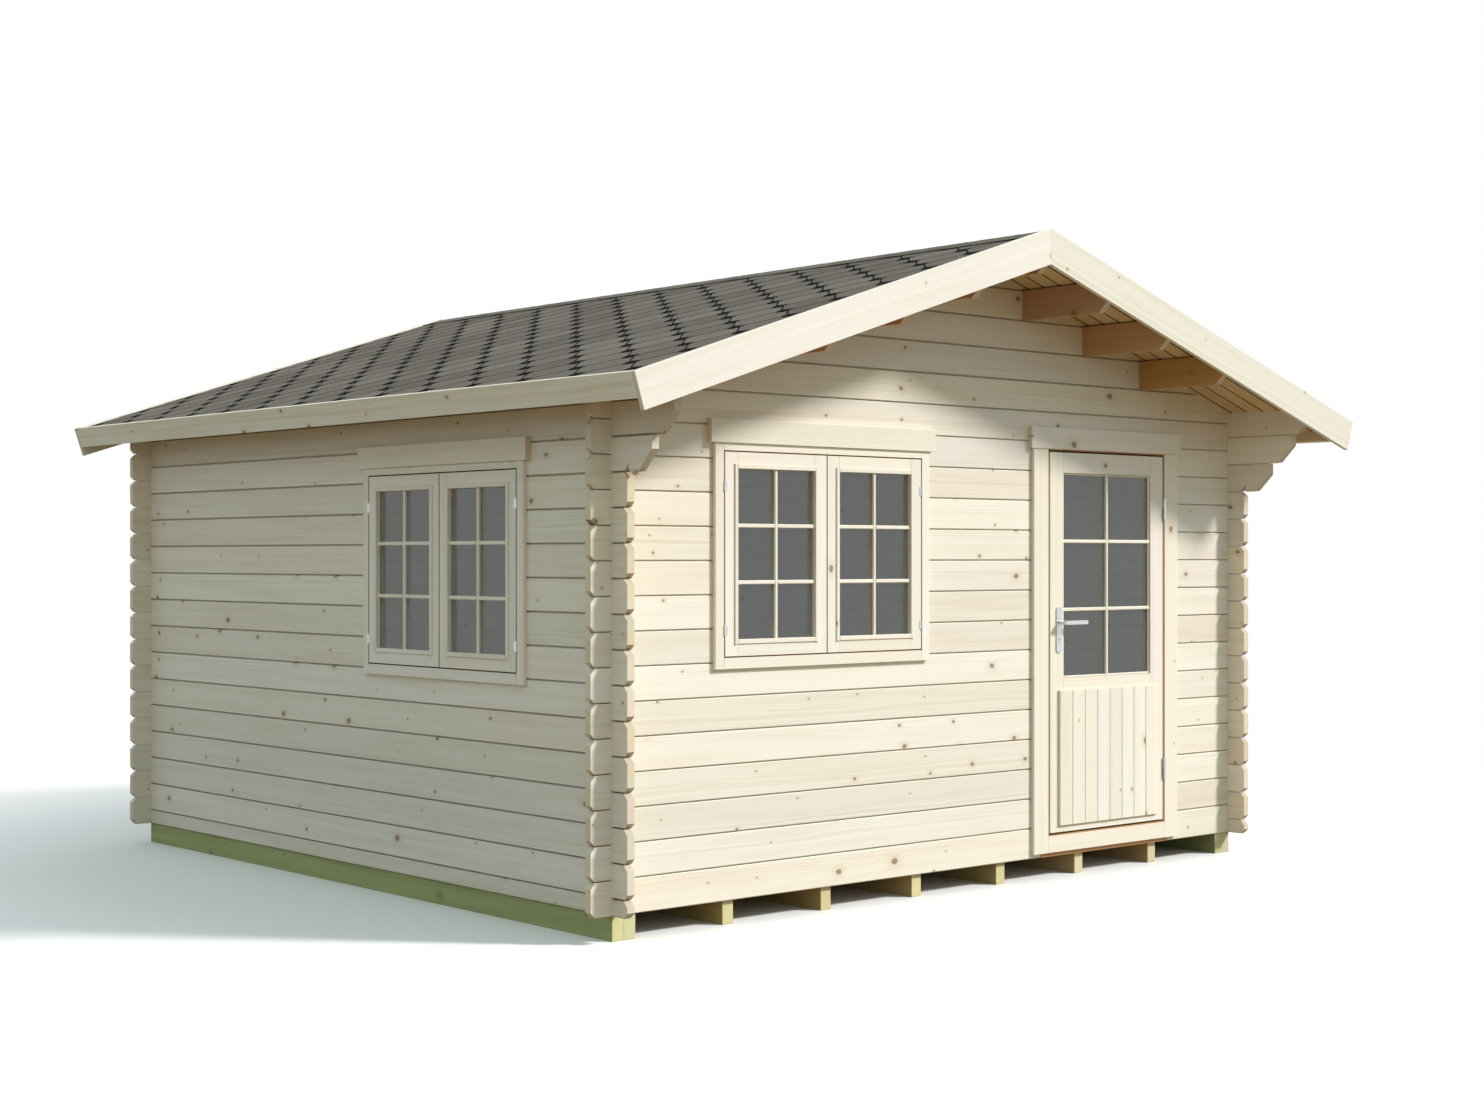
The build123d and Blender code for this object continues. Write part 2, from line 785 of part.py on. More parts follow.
with BuildPart() as hinge_frame_plates:
    for low in hinge_levels:
        middle = low + hinge_length / 2
        knuckle(low, middle - knuckle_gap / 2, bore=False)
        with BuildSketch(Plane.XY.offset(middle - knuckle_gap / 2)):
            with Locations((pin_x, pin_y)):
                Circle(pin_radius)
        extrude(amount=hinge_length / 2)
        plate_right = jamb_right - seat_clearance
        plate_left = plate_right - hinge_plate_thickness
        block((plate_left, pin_y + pin_radius, low), (plate_right, plate_back, middle - knuckle_gap / 2))
save("hinge_frame_plates", hinge_frame_plates)

with BuildPart() as hinge_leaf_plates:
    for low in hinge_levels:
        middle = low + hinge_length / 2
        knuckle(middle + knuckle_gap / 2, low + hinge_length, bore=True)
        plate_left = leaf_right + seat_clearance
        plate_right = plate_left + hinge_plate_thickness
        reach = pin_y + pin_radius + pin_clearance
        plate_low = middle + knuckle_gap / 2
        block((plate_left, reach, plate_low), (plate_right, plate_back, low + hinge_length))
        with BuildSketch(Plane.XY.offset(middle + knuckle_gap / 2)):
            with Locations((pin_x, pin_y)):
                Circle(pin_radius + pin_clearance)
        extrude(amount=hinge_length / 2 - knuckle_gap / 2, mode=Mode.SUBTRACT)
save("hinge_leaf_plates", hinge_leaf_plates)

# Handle: a long plate on each face of the leaf and one lever turning through both
with BuildPart() as handle_plates:
    plate_middle = spindle_z - handle_plate_drop
    plate_corner = handle_plate_width * handle_plate_corner_share
    for low_y, high_y in (
        (leaf_outer - handle_plate_thickness, leaf_outer - seat_clearance),
        (leaf_inner + seat_clearance, leaf_inner + handle_plate_thickness),
    ):
        with BuildSketch(Plane.XZ.offset(-high_y)):
            with Locations((spindle_x, plate_middle)):
                RectangleRounded(handle_plate_width, handle_plate_height, plate_corner)
            with Locations((spindle_x, spindle_z)):
                Circle(spindle_radius + spindle_clearance, mode=Mode.SUBTRACT)
        extrude(amount=high_y - low_y)
save("handle_plates", handle_plates)

with BuildPart() as lever_handle:
    outer_plate = leaf_outer - handle_plate_thickness
    inner_plate = leaf_inner + handle_plate_thickness
    with BuildSketch(Plane.XZ.offset(-inner_plate - lever_standoff)):
        with Locations((spindle_x, spindle_z)):
            Circle(spindle_radius)
    extrude(amount=inner_plate - outer_plate + 2 * lever_standoff)
    for plate, turn in ((outer_plate, -1), (inner_plate, 1)):
        low_y, high_y = sorted((plate + turn * lever_gap, plate + turn * lever_standoff))
        with BuildSketch(Plane.XZ.offset(-high_y)):
            with Locations((spindle_x, spindle_z)):
                Circle(neck_radius)
        extrude(amount=high_y - low_y)
        tip = plate + turn * lever_standoff
        low_y, high_y = sorted((tip - turn * lever_depth, tip))
        with BuildSketch(Plane.XZ.offset(-high_y)):
            with Locations((spindle_x + lever_length / 2, spindle_z)):
                SlotOverall(lever_length + 2 * neck_radius, lever_height)
        extrude(amount=high_y - low_y)
save("lever_handle", lever_handle)
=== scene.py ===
import zlib
from math import cos, radians, sin, tan

import bmesh
import bpy
import numpy as np
from bpy.props import FloatProperty, FloatVectorProperty, PointerProperty
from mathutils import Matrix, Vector


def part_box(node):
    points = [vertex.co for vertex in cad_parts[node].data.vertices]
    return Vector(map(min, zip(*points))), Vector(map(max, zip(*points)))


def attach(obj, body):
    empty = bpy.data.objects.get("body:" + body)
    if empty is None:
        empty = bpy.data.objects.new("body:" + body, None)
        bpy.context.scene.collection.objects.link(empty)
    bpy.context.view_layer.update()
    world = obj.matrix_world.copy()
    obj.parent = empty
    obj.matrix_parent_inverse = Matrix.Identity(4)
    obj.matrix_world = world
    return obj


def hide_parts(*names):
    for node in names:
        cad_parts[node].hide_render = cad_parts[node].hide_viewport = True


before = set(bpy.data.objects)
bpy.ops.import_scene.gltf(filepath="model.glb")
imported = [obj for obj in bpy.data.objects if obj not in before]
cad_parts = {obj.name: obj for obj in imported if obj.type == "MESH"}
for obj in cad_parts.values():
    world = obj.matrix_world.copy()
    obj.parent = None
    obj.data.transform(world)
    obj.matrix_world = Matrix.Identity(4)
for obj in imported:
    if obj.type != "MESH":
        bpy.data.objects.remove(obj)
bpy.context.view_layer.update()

bl_info = {
    "name": "Guest cabin",
    "version": (1, 0, 0),
    "blender": (4, 5, 0),
    "location": "3D View > Sidebar > Cabin",
    "description": "Timber, roofing, joinery and stage of a notched log cabin",
    "category": "Object",
}


def node_box(node):
    """Lowest and highest corner of a CAD node."""
    return tuple(np.array(corner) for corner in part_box(node))


# Bodies, directions and sides
CABIN, DOOR = "cabin", "door"
UP = np.array((0.0, 0.0, 1.0))
FRONT = np.array((0.0, -1.0, 0.0))
LEFT = np.array((-1.0, 0.0, 0.0))
SIDES = ((-1, "left"), (1, "right"))

# CAD nodes by what they are made of
WALL_LOGS = (
    "front_wall_logs", "back_wall_logs", "left_wall_logs", "right_wall_logs",
    "front_gable_logs", "back_gable_logs", "left_top_log", "right_top_log",
)
# Walls whose seams get the lighter painted shade
LIGHT_SEAM_SHADE_WALLS = ("front_wall_logs", "back_wall_logs")
PURLINS = ("ridge_purlin", "left_purlins", "right_purlins")
SLOPED_TRIM = (
    "front_barge_boards", "back_barge_boards", "left_eave_fascia", "right_eave_fascia")
WINDOWS = {"front_window": FRONT, "side_window": LEFT}
WINDOW_TIMBER = ("casing", "head_board", "sashes")
DOOR_TIMBER = ("door_casing", "door_head_board", "door_leaf_frame", "door_panel_boards")
FRAMES = ("door_frame", "front_window_frame", "side_window_frame")
PANES = ("front_window_glass", "side_window_glass", "door_glass")
METAL = ("hinge_frame_plates", "hinge_leaf_plates", "handle_plates", "lever_handle")

# Roof places, read from the CAD nodes
boards_low, boards_high = node_box("left_roof_boards")
PITCH = radians(18)
DECK_FRONT, DECK_BACK = boards_low[1], boards_high[1]
BOARD_THICKNESS = 0.028
ROOF_COVER = 0.042
SOFFIT_APEX = boards_high[2] - BOARD_THICKNESS / cos(PITCH)
DECK_RUN = -boards_low[0] / cos(PITCH) - BOARD_THICKNESS * tan(PITCH)

# Gap that keeps neighbouring pieces apart, in metres
SEAM = 0.0004

# How squarely a face has to look along a direction to be a seam, an eased edge, a sawn end or a rim
SEAM_FACING, EASED_FACING, END_FACING, RIM_FACING = 0.98, 0.6, 0.6, 0.95

# Painted shade in the seams between logs and on their eased edges, lighter on the front and back
# walls
LIGHT_SEAM_SHADE, DEEP_SEAM_SHADE = (0.8, 0.0), (1.0, 0.26)

# Eased edges of CAD nodes: reach of the weld and width on metal in metres, least angle of an edge
WELD_REACH, METAL_EASE, EASED_ANGLE = 1e-5, 0.0006, radians(40)

# Finish of a grade of wood: tones from dark to pale, share of knots, roughness, strength of figure
SAWN = {"tone": (0.93, 1.05), "knots": 0.46, "roughness": 0.58, "figure": 1.0}
PLANED = {"tone": (0.98, 1.05), "knots": 0.22, "roughness": 0.58, "figure": 0.55}
TREATED = {"tone": (0.90, 1.08), "knots": 0.4, "roughness": 0.72, "figure": 1.0}

# Colours of early wood, late wood and sawn ends, and the grade, of each wood
WOODS = {
    "spruce log": ("sapwood", "latewood", "end_grain", SAWN),
    "spruce joinery": ("sapwood", "latewood", "end_grain", PLANED),
    # Roof, purlin and frame spruce: darker, browner copies of the spruce, painted shade of the
    # soffit and of the gaps round leaves and sashes
    "roof spruce": ("roof_sapwood", "roof_latewood", "end_grain", SAWN),
    "purlin spruce": ("frame_sapwood", "frame_latewood", "end_grain", SAWN),
    "frame spruce": ("frame_sapwood", "frame_latewood", "frame_latewood", SAWN),
    "treated bearer": ("treated", "treated_late", "treated_end", TREATED),
    "treated joist": ("joist", "joist_late", "treated_end", TREATED),
}

# Knots and rings of the wood: lengths in metres, the rest shares
BOARD_SHIFT, CELL_SHIFT_LONG, CELL_SHIFT_WIDE = 57.0, 31.0, 17.0
KNOT_CELL_SHAPE = 3
KNOT_LEAST, KNOT_SPREAD, KNOT_SQUEEZE = 0.0036, 0.0115, 0.72
KNOT_DARK, HALO_DARK, HALO_SWIRL = 0.85, 0.42, -1.6
KNOT_RIM, HALO_RIM = (1.05, 0.7), (3.4, 0.9)
RING_BEND, RING_RISE, RING_FALL, STREAK_SPAN = 0.050, (0.35, 0.86), (1.0, 0.90), (0.38, 0.72)
PITH_SIDE, PITH_SIDE_SPREAD = -0.05, 0.10
PITH_DEPTH, PITH_DEPTH_SPREAD = 0.028, 0.060
RING_SHARE, STREAK_SHARE, FIBRE_SHARE, FIBRE_BASE = 0.30, 0.24, 0.18, -0.12
END_SHARE, END_RING_SHARE = 0.85, 0.75
WOOD_GLOSS, GLOSS_SPREAD, WOOD_RELIEF = 0.28, 0.12, 0.0006

# Scales of the wood's noise along and across the grain
RAGGED_SCALES, BEND_SCALES = (60.0, 120.0), (1.1, 8.0)
STREAK_SCALES, FIBRE_SCALES = (1.5, 34.0), (16.0, 1100.0)

# Granules of the shingles: scales of specks and blotches, and their shares in the tone
SPECK_SCALE, BLOTCH_SCALE, GRANULE_RELIEF = 520.0, 9.0, 0.0012
SPECK_SHARE, BLOTCH_SHARE, TAB_SHARE, TONE_BASE = 0.62, 0.30, 0.32, 0.38
RUST_LIMIT, RUST_SHARE = 0.86, 0.45

# Second colours of finishes that vary a little
RUST_GRANULE = (0.22, 0.16, 0.105)
WORN_BITUMEN = (0.035, 0.033, 0.03)
DULL_STEEL = (0.52, 0.52, 0.52)
# Painted gap shade: dark and pale brown of the seal strips round the sashes
GAP_SHADE_DARK, GAP_SHADE_PALE = (0.085, 0.034, 0.012), (0.15, 0.066, 0.026)
SHADOW_DARK, SHADOW_PALE = (0.012, 0.012, 0.012), (0.03, 0.03, 0.03)
GLASS_SHEEN = (0.94, 1.0, 0.98)

# Shingles, in metres but for the share: laps and joints, then both faces of the notch marks, of the
# painted shadow bands and of the underlay
HEAD_LAP, RIDGE_CLEAR, SHORT_SLANT = 0.03, 0.006, 0.8
TAB_JOINT, TAB_LEAST, EDGE_STRIP, TAB_AIR = 0.0015, 0.0015, 0.002, 0.0002
MARK_LIFT, NOTCH_FACES, SHADOW_BAND_FACES = 0.0003, (-0.0006, 0.0006), (-0.0006, 0.0003)
UNDERLAY_FACES = (0.0003, 0.005)

# Ridge caps, in metres: how far they stop short of the CAD cap, thickness, drop and lifts
CAP_TRIM, CAP_THICKNESS, CAP_CROWN_DROP = 0.016, 0.0021, 0.001
CAP_FRONT_LIFT, CAP_BACK_LIFT = 0.0040, 0.0022

# Chamfers of bars and boards, in metres, and that of a bead as a share of its rise
FLOOR_EASE, BAR_EASE, SEAL_EASE, LINING_EASE = 0.002, 0.003, 0.0006, 0.0005
BEAD_EASE = 0.35

# Slim beads of the door, in metres
DOOR_BEAD_WIDTH, DOOR_BEAD_RISE = 0.009, 0.012

# Window hinges, in metres
BARREL_ASIDE, BARREL_PROUD = 0.0015, 0.002
LEAF_HALF_WIDTH, LEAF_HALF_THICKNESS, LEAF_EASE = 0.007, 0.0009, 0.0004
LEAF_SINK, LEAF_TRIM = 0.0012, 0.002

# Lock and screws of the handle plates, in metres
LOCK_DROP, LOCK_PROUD, LOCK_RADIUS, LOCK_HALF = 0.041, 0.001, 0.0085, 0.0015
KEYHOLE_DROP, KEYHOLE_PROUD, KEYHOLE_EASE = 0.001, 0.0026, 0.0003
KEYHOLE_HALF = (0.0048, 0.0014, 0.0004)
SCREW_INSET, SCREW_PROUD, SCREW_RADIUS, SCREW_HALF, SCREW_SIDES = 0.014, 0.0004, 0.0034, 0.0008, 14

# Stage: its white, where the floor fades to it, sensor and far end of the camera
WHITE = (1.0, 1.0, 1.0)
FADE_START, FADE_END = 2.6, 6.5
SENSOR_WIDTH, FAR_END = 36.0, 200.0


def tint(name, description, default):
    """Property that holds a colour."""
    return FloatVectorProperty(
        name=name, description=description, default=default,
        subtype="COLOR", size=3, min=0.0, max=1.0)


def length(name, description, default):
    """Property that holds a length in metres."""
    return FloatProperty(
        name=name, description=description, default=default, subtype="DISTANCE", unit="LENGTH")


def angle(name, description, degrees):
    """Property that holds an angle, from its default in degrees."""
    return FloatProperty(
        name=name, description=description, default=radians(degrees),
        subtype="ANGLE", unit="ROTATION")


class CabinTimberLook(bpy.types.PropertyGroup):
    """Colours and grain of the spruce and of the treated bearers."""

    sapwood: tint("Sapwood", "Pale wood between the rings", (0.832, 0.728, 0.578))
    latewood: tint("Latewood", "Darker wood at the end of each ring", (0.66, 0.508, 0.311))
    knot: tint("Knot", "Heart of a knot", (0.27, 0.155, 0.071))
    # Painted shade laid into the seams between logs and between roof boards
    seam: tint("Seam", "Unlit wood between two courses", (0.11, 0.054, 0.021))
    end_grain: tint("End grain", "Sawn ends across the grain", (0.71, 0.569, 0.382))
    # Painted shade: darker, browner copies of the spruce for the roof boards, and below for the
    # purlins and rebated frames
    roof_sapwood: tint("Roof sapwood", "Pale wood of the roof boards", (0.74, 0.53, 0.30))
    roof_latewood: tint("Roof latewood", "Darker rings of the roof boards", (0.54, 0.35, 0.165))
    frame_sapwood: tint(
        "Frame sapwood", "Pale wood of purlins and rebated frames", (0.55, 0.31, 0.143))
    frame_latewood: tint(
        "Frame latewood", "Darker rings of purlins and frames", (0.40, 0.207, 0.084))
    treated: tint("Treated wood", "Green stain of the bearers", (0.37, 0.38, 0.168))
    treated_late: tint("Treated latewood", "Darker rings of the bearers", (0.15, 0.179, 0.063))
    treated_end: tint("Treated end grain", "Sawn ends of the bearers", (0.84, 0.714, 0.395))
    joist: tint("Joist", "Browner stain of the joists", (0.62, 0.442, 0.185))
    joist_late: tint("Joist latewood", "Darker rings of the joists", (0.36, 0.235, 0.076))
    ring_spacing: length("Ring spacing", "Width of one growth ring", 0.0046)
    knot_spacing: length("Knot spacing", "Length of board with one place for a knot", 0.34)
    edge_ease: length("Edge ease", "Rounding of the planed edges", 0.0016)


class CabinRoofLook(bpy.types.PropertyGroup):
    """Sizes and colours of the roof boards and of the six-sided shingle tabs."""

    granules: tint("Granules", "Mineral face of the shingles", (0.188, 0.153, 0.119))
    # Also the colour of the painted shadow bands along the tabs
    bitumen: tint("Bitumen", "Bare bitumen in the notches", (0.012, 0.012, 0.011))
    tab_pitch: length("Tab pitch", "Width of one shingle tab", 1 / 3)
    tab_flat: length("Tab flat", "Straight lower edge of a tab", 0.080)
    exposure: length("Exposure", "Visible height of one row", 0.1308)
    first_row: length("First row", "Run from the ridge to the highest lower edge", 0.076)
    tab_shift: length(
        "Tab shift", "Run from the front edge to the first tab of the lowest row", 0.100)
    tab_thickness: length("Tab thickness", "Thickness of one shingle", 0.0016)
    notch_height: length("Notch height", "Bare bitumen under each lower edge", 0.046)
    # Width of the painted shadow band along one slanted side of each tab
    shadow_band_width: length("Band width", "Dark band along one slanted side of a tab", 0.0075)
    cap_exposure: length("Cap exposure", "Visible length of one ridge cap", 0.150)
    board_pitch: length("Roof board pitch", "Width of one roof board", 0.090)
    board_ease: length("Roof board ease", "Chamfer along the lower edges", 0.004)
    board_joint: length("Roof board joint", "Open joint between two roof boards", 0.003)


class CabinJoineryLook(bpy.types.PropertyGroup):
    """Sizes of bars, beads, seals, lining, small hinges and floor boards, with glass and steel."""

    bar_width: length("Bar width", "Face of a glazing bar", 0.016)
    bar_depth: length("Bar depth", "Rise of a glazing bar off the pane", 0.013)
    bead_width: length("Bead width", "Face of the bead round a window pane", 0.018)
    bead_rise: length("Bead rise", "Rise of the bead off the sash", 0.006)
    rebate: length("Rebate", "Edge of a pane held in its frame", 0.008)
    seal_width: length("Seal width", "Face of the seal round a sash", 0.0058)
    seal_depth: length("Seal depth", "Depth of the seal round a sash", 0.006)
    lining_width: length("Lining width", "Face of the lining round the door leaf", 0.005)
    lining_setback: length(
        "Lining setback", "Depth of the lining behind the face of the casing", 0.003)
    door_gap: length("Door gap", "Room between the door leaf and its lining", 0.008)
    hinge_length: length("Hinge length", "Height of a window hinge", 0.040)
    hinge_radius: length("Hinge radius", "Radius of a window hinge barrel", 0.0045)
    hinge_foot: length("Hinge foot", "Lower hinge above the foot of its sash", 0.103)
    hinge_head: length("Hinge head", "Upper hinge below the head of its sash", 0.134)
    floor_pitch: length("Floor board pitch", "Width of one floor board", 0.096)
    glass: tint("Glass", "Tint of the panes", (0.05, 0.054, 0.054))
    glass_cover: FloatProperty(
        name="Glass cover", description="Share of the light that a pane holds back",
        default=0.21, min=0.0, max=1.0, subtype="FACTOR")
    steel: tint("Steel", "Zinc plated steel", (0.62, 0.62, 0.62))


class CabinStageLook(bpy.types.PropertyGroup):
    """Floor, light and camera."""

    floor: tint("Floor", "Pale studio floor", (0.90, 0.846, 0.756))
    floor_bounce: tint(
        "Floor bounce", "Colour that the floor throws back on the cabin", (0.19, 0.142, 0.066))
    floor_reach: length("Floor reach", "Half side of the floor", 60.0)
    sky: tint("Sky", "Colour of the light from all round", (0.68, 0.872, 1.0))
    sky_strength: FloatProperty(
        name="Sky strength", description="Light from all round", default=0.87, min=0.0)
    sun: tint("Key colour", "Colour of the key light", (0.895, 0.93, 1.0))
    sun_strength: FloatProperty(
        name="Key strength", description="Strength of the key light", default=3.95, min=0.0)
    sun_turn: angle("Key turn", "Turn of the key light to the right of the front", 43)
    sun_height: angle("Key height", "Height of the key light over the floor", 35)
    sun_softness: angle("Key softness", "Spread of the key light", 8)
    camera_place: FloatVectorProperty(
        name="Camera place", description="Place of the camera", default=(-6.852, -8.181, 1.435),
        subtype="TRANSLATION", unit="LENGTH", size=3)
    camera_turn: angle(
        "Camera turn", "Turn of the camera to the right of straight ahead", 41.127)
    lens: FloatProperty(
        name="Lens", description="Focal length for a 36 mm wide sensor, in millimetres",
        default=52.76)


class Shade:
    """Node tree of one material, or of the world, with short words for its nodes."""

    def __init__(self, name, kind="materials"):
        self.owner = getattr(bpy.data, kind).new(name)
        self.owner.use_nodes = True
        self.output = "OutputWorld" if kind == "worlds" else "OutputMaterial"
        self.tree = self.owner.node_tree
        self.tree.nodes.clear()

    def node(self, kind, settings=None, **sockets):
        """New node; each named socket takes a value or a link."""
        made = self.tree.nodes.new("ShaderNode" + kind)
        for key, value in (settings or {}).items():
            setattr(made, key, value)
        for key, value in sockets.items():
            self.feed(made.inputs[key.replace("_", " ")], value)
        return made

    def feed(self, socket, value):
        """Link or set one socket."""
        if isinstance(value, bpy.types.NodeSocket):
            self.tree.links.new(value, socket)
        elif socket.type == "RGBA" and len(value) == 3:
            socket.default_value = (*value, 1.0)
        else:
            socket.default_value = value

    def fill(self, sockets, values):
        """Link or set sockets in order."""
        for socket, value in zip(sockets, values):
            self.feed(socket, value)

    def math(self, operation, *values):
        """One arithmetic step."""
        made = self.node("Math", {"operation": operation})
        self.fill(made.inputs, values)
        return made.outputs[0]

    def times(self, first, second):
        """Product of two values."""
        return self.math("MULTIPLY", first, second)

    def plus(self, first, second):
        """Sum of two values."""
        return self.math("ADD", first, second)

    def scaled(self, value, factor, offset):
        """A value times a factor, plus an offset."""
        return self.math("MULTIPLY_ADD", value, factor, offset)

    def distance(self, x, y):
        """Root of the sum of two squares."""
        return self.math("SQRT", self.plus(self.times(x, x), self.times(y, y)))

    def vector(self, x, y, z):
        """Vector from three numbers."""
        return self.node("CombineXYZ", X=x, Y=y, Z=z).outputs[0]

    def split(self, vector):
        """The three numbers of a vector."""
        return self.node("SeparateXYZ", Vector=vector).outputs

    def place(self):
        """Object coordinates."""
        return self.node("TexCoord").outputs["Object"]

    def attribute(self, name, output="Vector"):
        """A value stored on the mesh."""
        return self.node("Attribute", {"attribute_name": name}).outputs[output]

    def span(self, value, low, high, start=0.0, end=1.0):
        """Smooth step of a value from one span to another."""
        made = self.node("MapRange", {"interpolation_type": "SMOOTHSTEP"})
        self.fill(made.inputs, (value, low, high, start, end))
        return made.outputs[0]

    def mix(self, factor, first, second):
        """Mix of two colours."""
        made = self.node("Mix", {"data_type": "RGBA"})
        self.fill((made.inputs[0], made.inputs[6], made.inputs[7]), (factor, first, second))
        return made.outputs[2]

    def noise(self, vector, scale=1.0, detail=2.0):
        """Cloudy value from 0 to 1."""
        return self.node("TexNoise", Vector=vector, Scale=scale, Detail=detail).outputs[0]

    def bump(self, height, strength, distance):
        """Normal of a surface with fine heights."""
        return self.node(
            "Bump", Strength=strength, Distance=distance, Height=height).outputs[0]

    def seen_directly(self):
        """1 on rays from the camera, or on those that metal and glass pass on."""
        rays = self.node("LightPath").outputs
        passed_on = self.math("MAXIMUM", rays["Is Glossy Ray"], rays["Is Transmission Ray"])
        return self.math("MAXIMUM", rays["Is Camera Ray"], passed_on)

    def blend(self, factor, first, second):
        """Mix of two shaders."""
        made = self.node("MixShader")
        self.fill(made.inputs, (factor, first.outputs[0], second.outputs[0]))
        return made

    def finish(self, shader):
        """Close the tree with its surface and give the material or the world."""
        self.node(self.output, Surface=shader.outputs[0])
        return self.owner

    def principled(self, **sockets):
        """Close the tree with a principled surface and give the material."""
        return self.finish(self.node("BsdfPrincipled", **sockets))


def timber_material(name, look, colours, tone, knots, roughness, figure):
    """Sawn softwood in each board's own lengthwise coordinates.

    Rings are circles about a pith line behind the board, bent by slow noise and round the knots.
    A knot is an ellipse about a random point in a cell of the board's face."""
    early, late, end = colours
    s = Shade(name)
    u, v, w = s.split(s.attribute("grain"))
    a, b, c = s.split(s.attribute("board"))
    shift = [s.times(number, BOARD_SHIFT) for number in (a, b, c)]

    def stretched(along, across):
        """The board's coordinates at one scale along the grain and another across it."""
        stretch = zip((u, v, w), (along, across, across), shift)
        return s.vector(*(s.scaled(*parts) for parts in stretch))

    # Knots
    cell_long, cell_wide = look.knot_spacing, look.knot_spacing / KNOT_CELL_SHAPE
    cell_u = s.plus(s.math("DIVIDE", u, cell_long), s.times(a, CELL_SHIFT_LONG))
    cell_v = s.plus(s.math("DIVIDE", v, cell_wide), s.times(b, CELL_SHIFT_WIDE))
    cells = s.node(
        "TexVoronoi", {"voronoi_dimensions": "2D"},
        Vector=s.vector(cell_u, cell_v, 0.0), Scale=1.0)
    centre_u, centre_v, _ = s.split(cells.outputs["Position"])
    chance, size, _ = s.split(cells.outputs["Color"])
    off_u = s.times(s.math("SUBTRACT", centre_u, cell_u), cell_long)
    off_v = s.times(s.math("SUBTRACT", centre_v, cell_v), cell_wide)
    ragged = s.scaled(s.noise(stretched(*RAGGED_SCALES)), 0.7, 0.65)
    radius = s.times(s.scaled(s.math("POWER", size, 2.0), KNOT_SPREAD, KNOT_LEAST), ragged)
    reach = s.math("DIVIDE", s.distance(s.times(off_u, KNOT_SQUEEZE), off_v), radius)
    present = s.math("LESS_THAN", chance, knots)
    heart = s.times(s.span(reach, *KNOT_RIM), present)
    halo = s.times(s.span(reach, *HALO_RIM, 0.0, HALO_DARK), present)

    # Rings
    bend = s.times(s.math("SUBTRACT", s.noise(stretched(*BEND_SCALES)), 0.5), RING_BEND)
    swirl = s.times(s.times(halo, off_v), HALO_SWIRL)
    across = s.plus(s.plus(v, bend), swirl)
    from_v = s.math("SUBTRACT", across, s.scaled(b, PITH_SIDE_SPREAD, PITH_SIDE))
    from_w = s.plus(w, s.scaled(c, PITH_DEPTH_SPREAD, PITH_DEPTH))
    ring_radius = s.distance(from_v, from_w)
    phase = s.math("FRACT", s.math("DIVIDE", ring_radius, look.ring_spacing))
    ring = s.times(s.span(phase, *RING_RISE), s.span(phase, *RING_FALL))
    streak = s.span(s.noise(stretched(*STREAK_SCALES), detail=4.0), *STREAK_SPAN)
    fibre = s.noise(stretched(*FIBRE_SCALES), detail=3.0)

    # Colour
    mellow = s.scaled(ring, RING_SHARE, s.times(streak, STREAK_SHARE))
    figured = s.times(s.plus(mellow, s.scaled(fibre, FIBRE_SHARE, FIBRE_BASE)), figure)
    face = s.mix(figured, early, late)
    cut = s.mix(s.times(ring, END_RING_SHARE), end, late)
    wood = s.mix(s.times(s.attribute("end_grain", "Fac"), END_SHARE), face, cut)
    wood = s.node(
        "HueSaturation", Color=wood, Hue=s.scaled(c, 0.012, 0.494),
        Saturation=s.scaled(a, 0.22, 0.90), Value=s.scaled(b, tone[1] - tone[0], tone[0]),
    ).outputs[0]
    wood = s.mix(halo, wood, late)
    wood = s.mix(s.times(heart, KNOT_DARK), wood, look.knot)
    # Painted shade in the seams between logs and between roof boards
    wood = s.mix(s.attribute("seam", "Fac"), wood, look.seam)

    height = s.plus(s.times(ring, 0.5), s.times(fibre, 0.8))
    return s.principled(
        Base_Color=wood, Roughness=s.scaled(streak, GLOSS_SPREAD, roughness - GLOSS_SPREAD / 2),
        Normal=s.bump(height, 0.22, WOOD_RELIEF), Specular_IOR_Level=WOOD_GLOSS)


def shingle_material(look):
    """Mineral granules: fine speckle on slow blotches, each tab a little lighter or darker."""
    s = Shade("shingle granules")
    place = s.place()
    tone = s.split(s.attribute("board"))[0]
    grains = s.node("TexVoronoi", Vector=place, Scale=SPECK_SCALE)
    speck = s.split(grains.outputs["Color"])[0]
    blotch = s.noise(place, BLOTCH_SCALE, 4.0)
    light = s.scaled(blotch, BLOTCH_SHARE, s.scaled(tone, TAB_SHARE, TONE_BASE))
    light = s.scaled(speck, SPECK_SHARE, light)
    colour = s.node("HueSaturation", Color=look.granules, Value=light).outputs[0]
    rust = s.times(s.math("GREATER_THAN", speck, RUST_LIMIT), RUST_SHARE)
    return s.principled(
        Base_Color=s.mix(rust, colour, RUST_GRANULE), Roughness=0.92, Specular_IOR_Level=0.0,
        Normal=s.bump(grains.outputs["Distance"], 0.6, GRANULE_RELIEF))


def bitumen_material(look):
    """Bare bitumen, also the painted shadow bands along the tabs: nearly black with a soft uneven
    gloss.
    """
    s = Shade("bare bitumen")
    patch = s.noise(s.place(), 60.0, 4.0)
    return s.principled(
        Base_Color=s.mix(s.times(patch, 0.5), look.bitumen, WORN_BITUMEN),
        Roughness=s.scaled(patch, 0.2, 0.8), Specular_IOR_Level=0.0,
        Normal=s.bump(patch, 0.3, 0.001))


def glass_material(look):
    """Glass before a dim room: a grey film over clear, with faint wiping marks in its gloss."""
    s = Shade("pane glass")
    smear = s.noise(s.place(), 3.0, 3.0)
    return s.principled(
        Base_Color=look.glass, Alpha=look.glass_cover, IOR=4.0, Specular_Tint=GLASS_SHEEN,
        Roughness=s.span(smear, 0.35, 0.7, 0.02, 0.07))


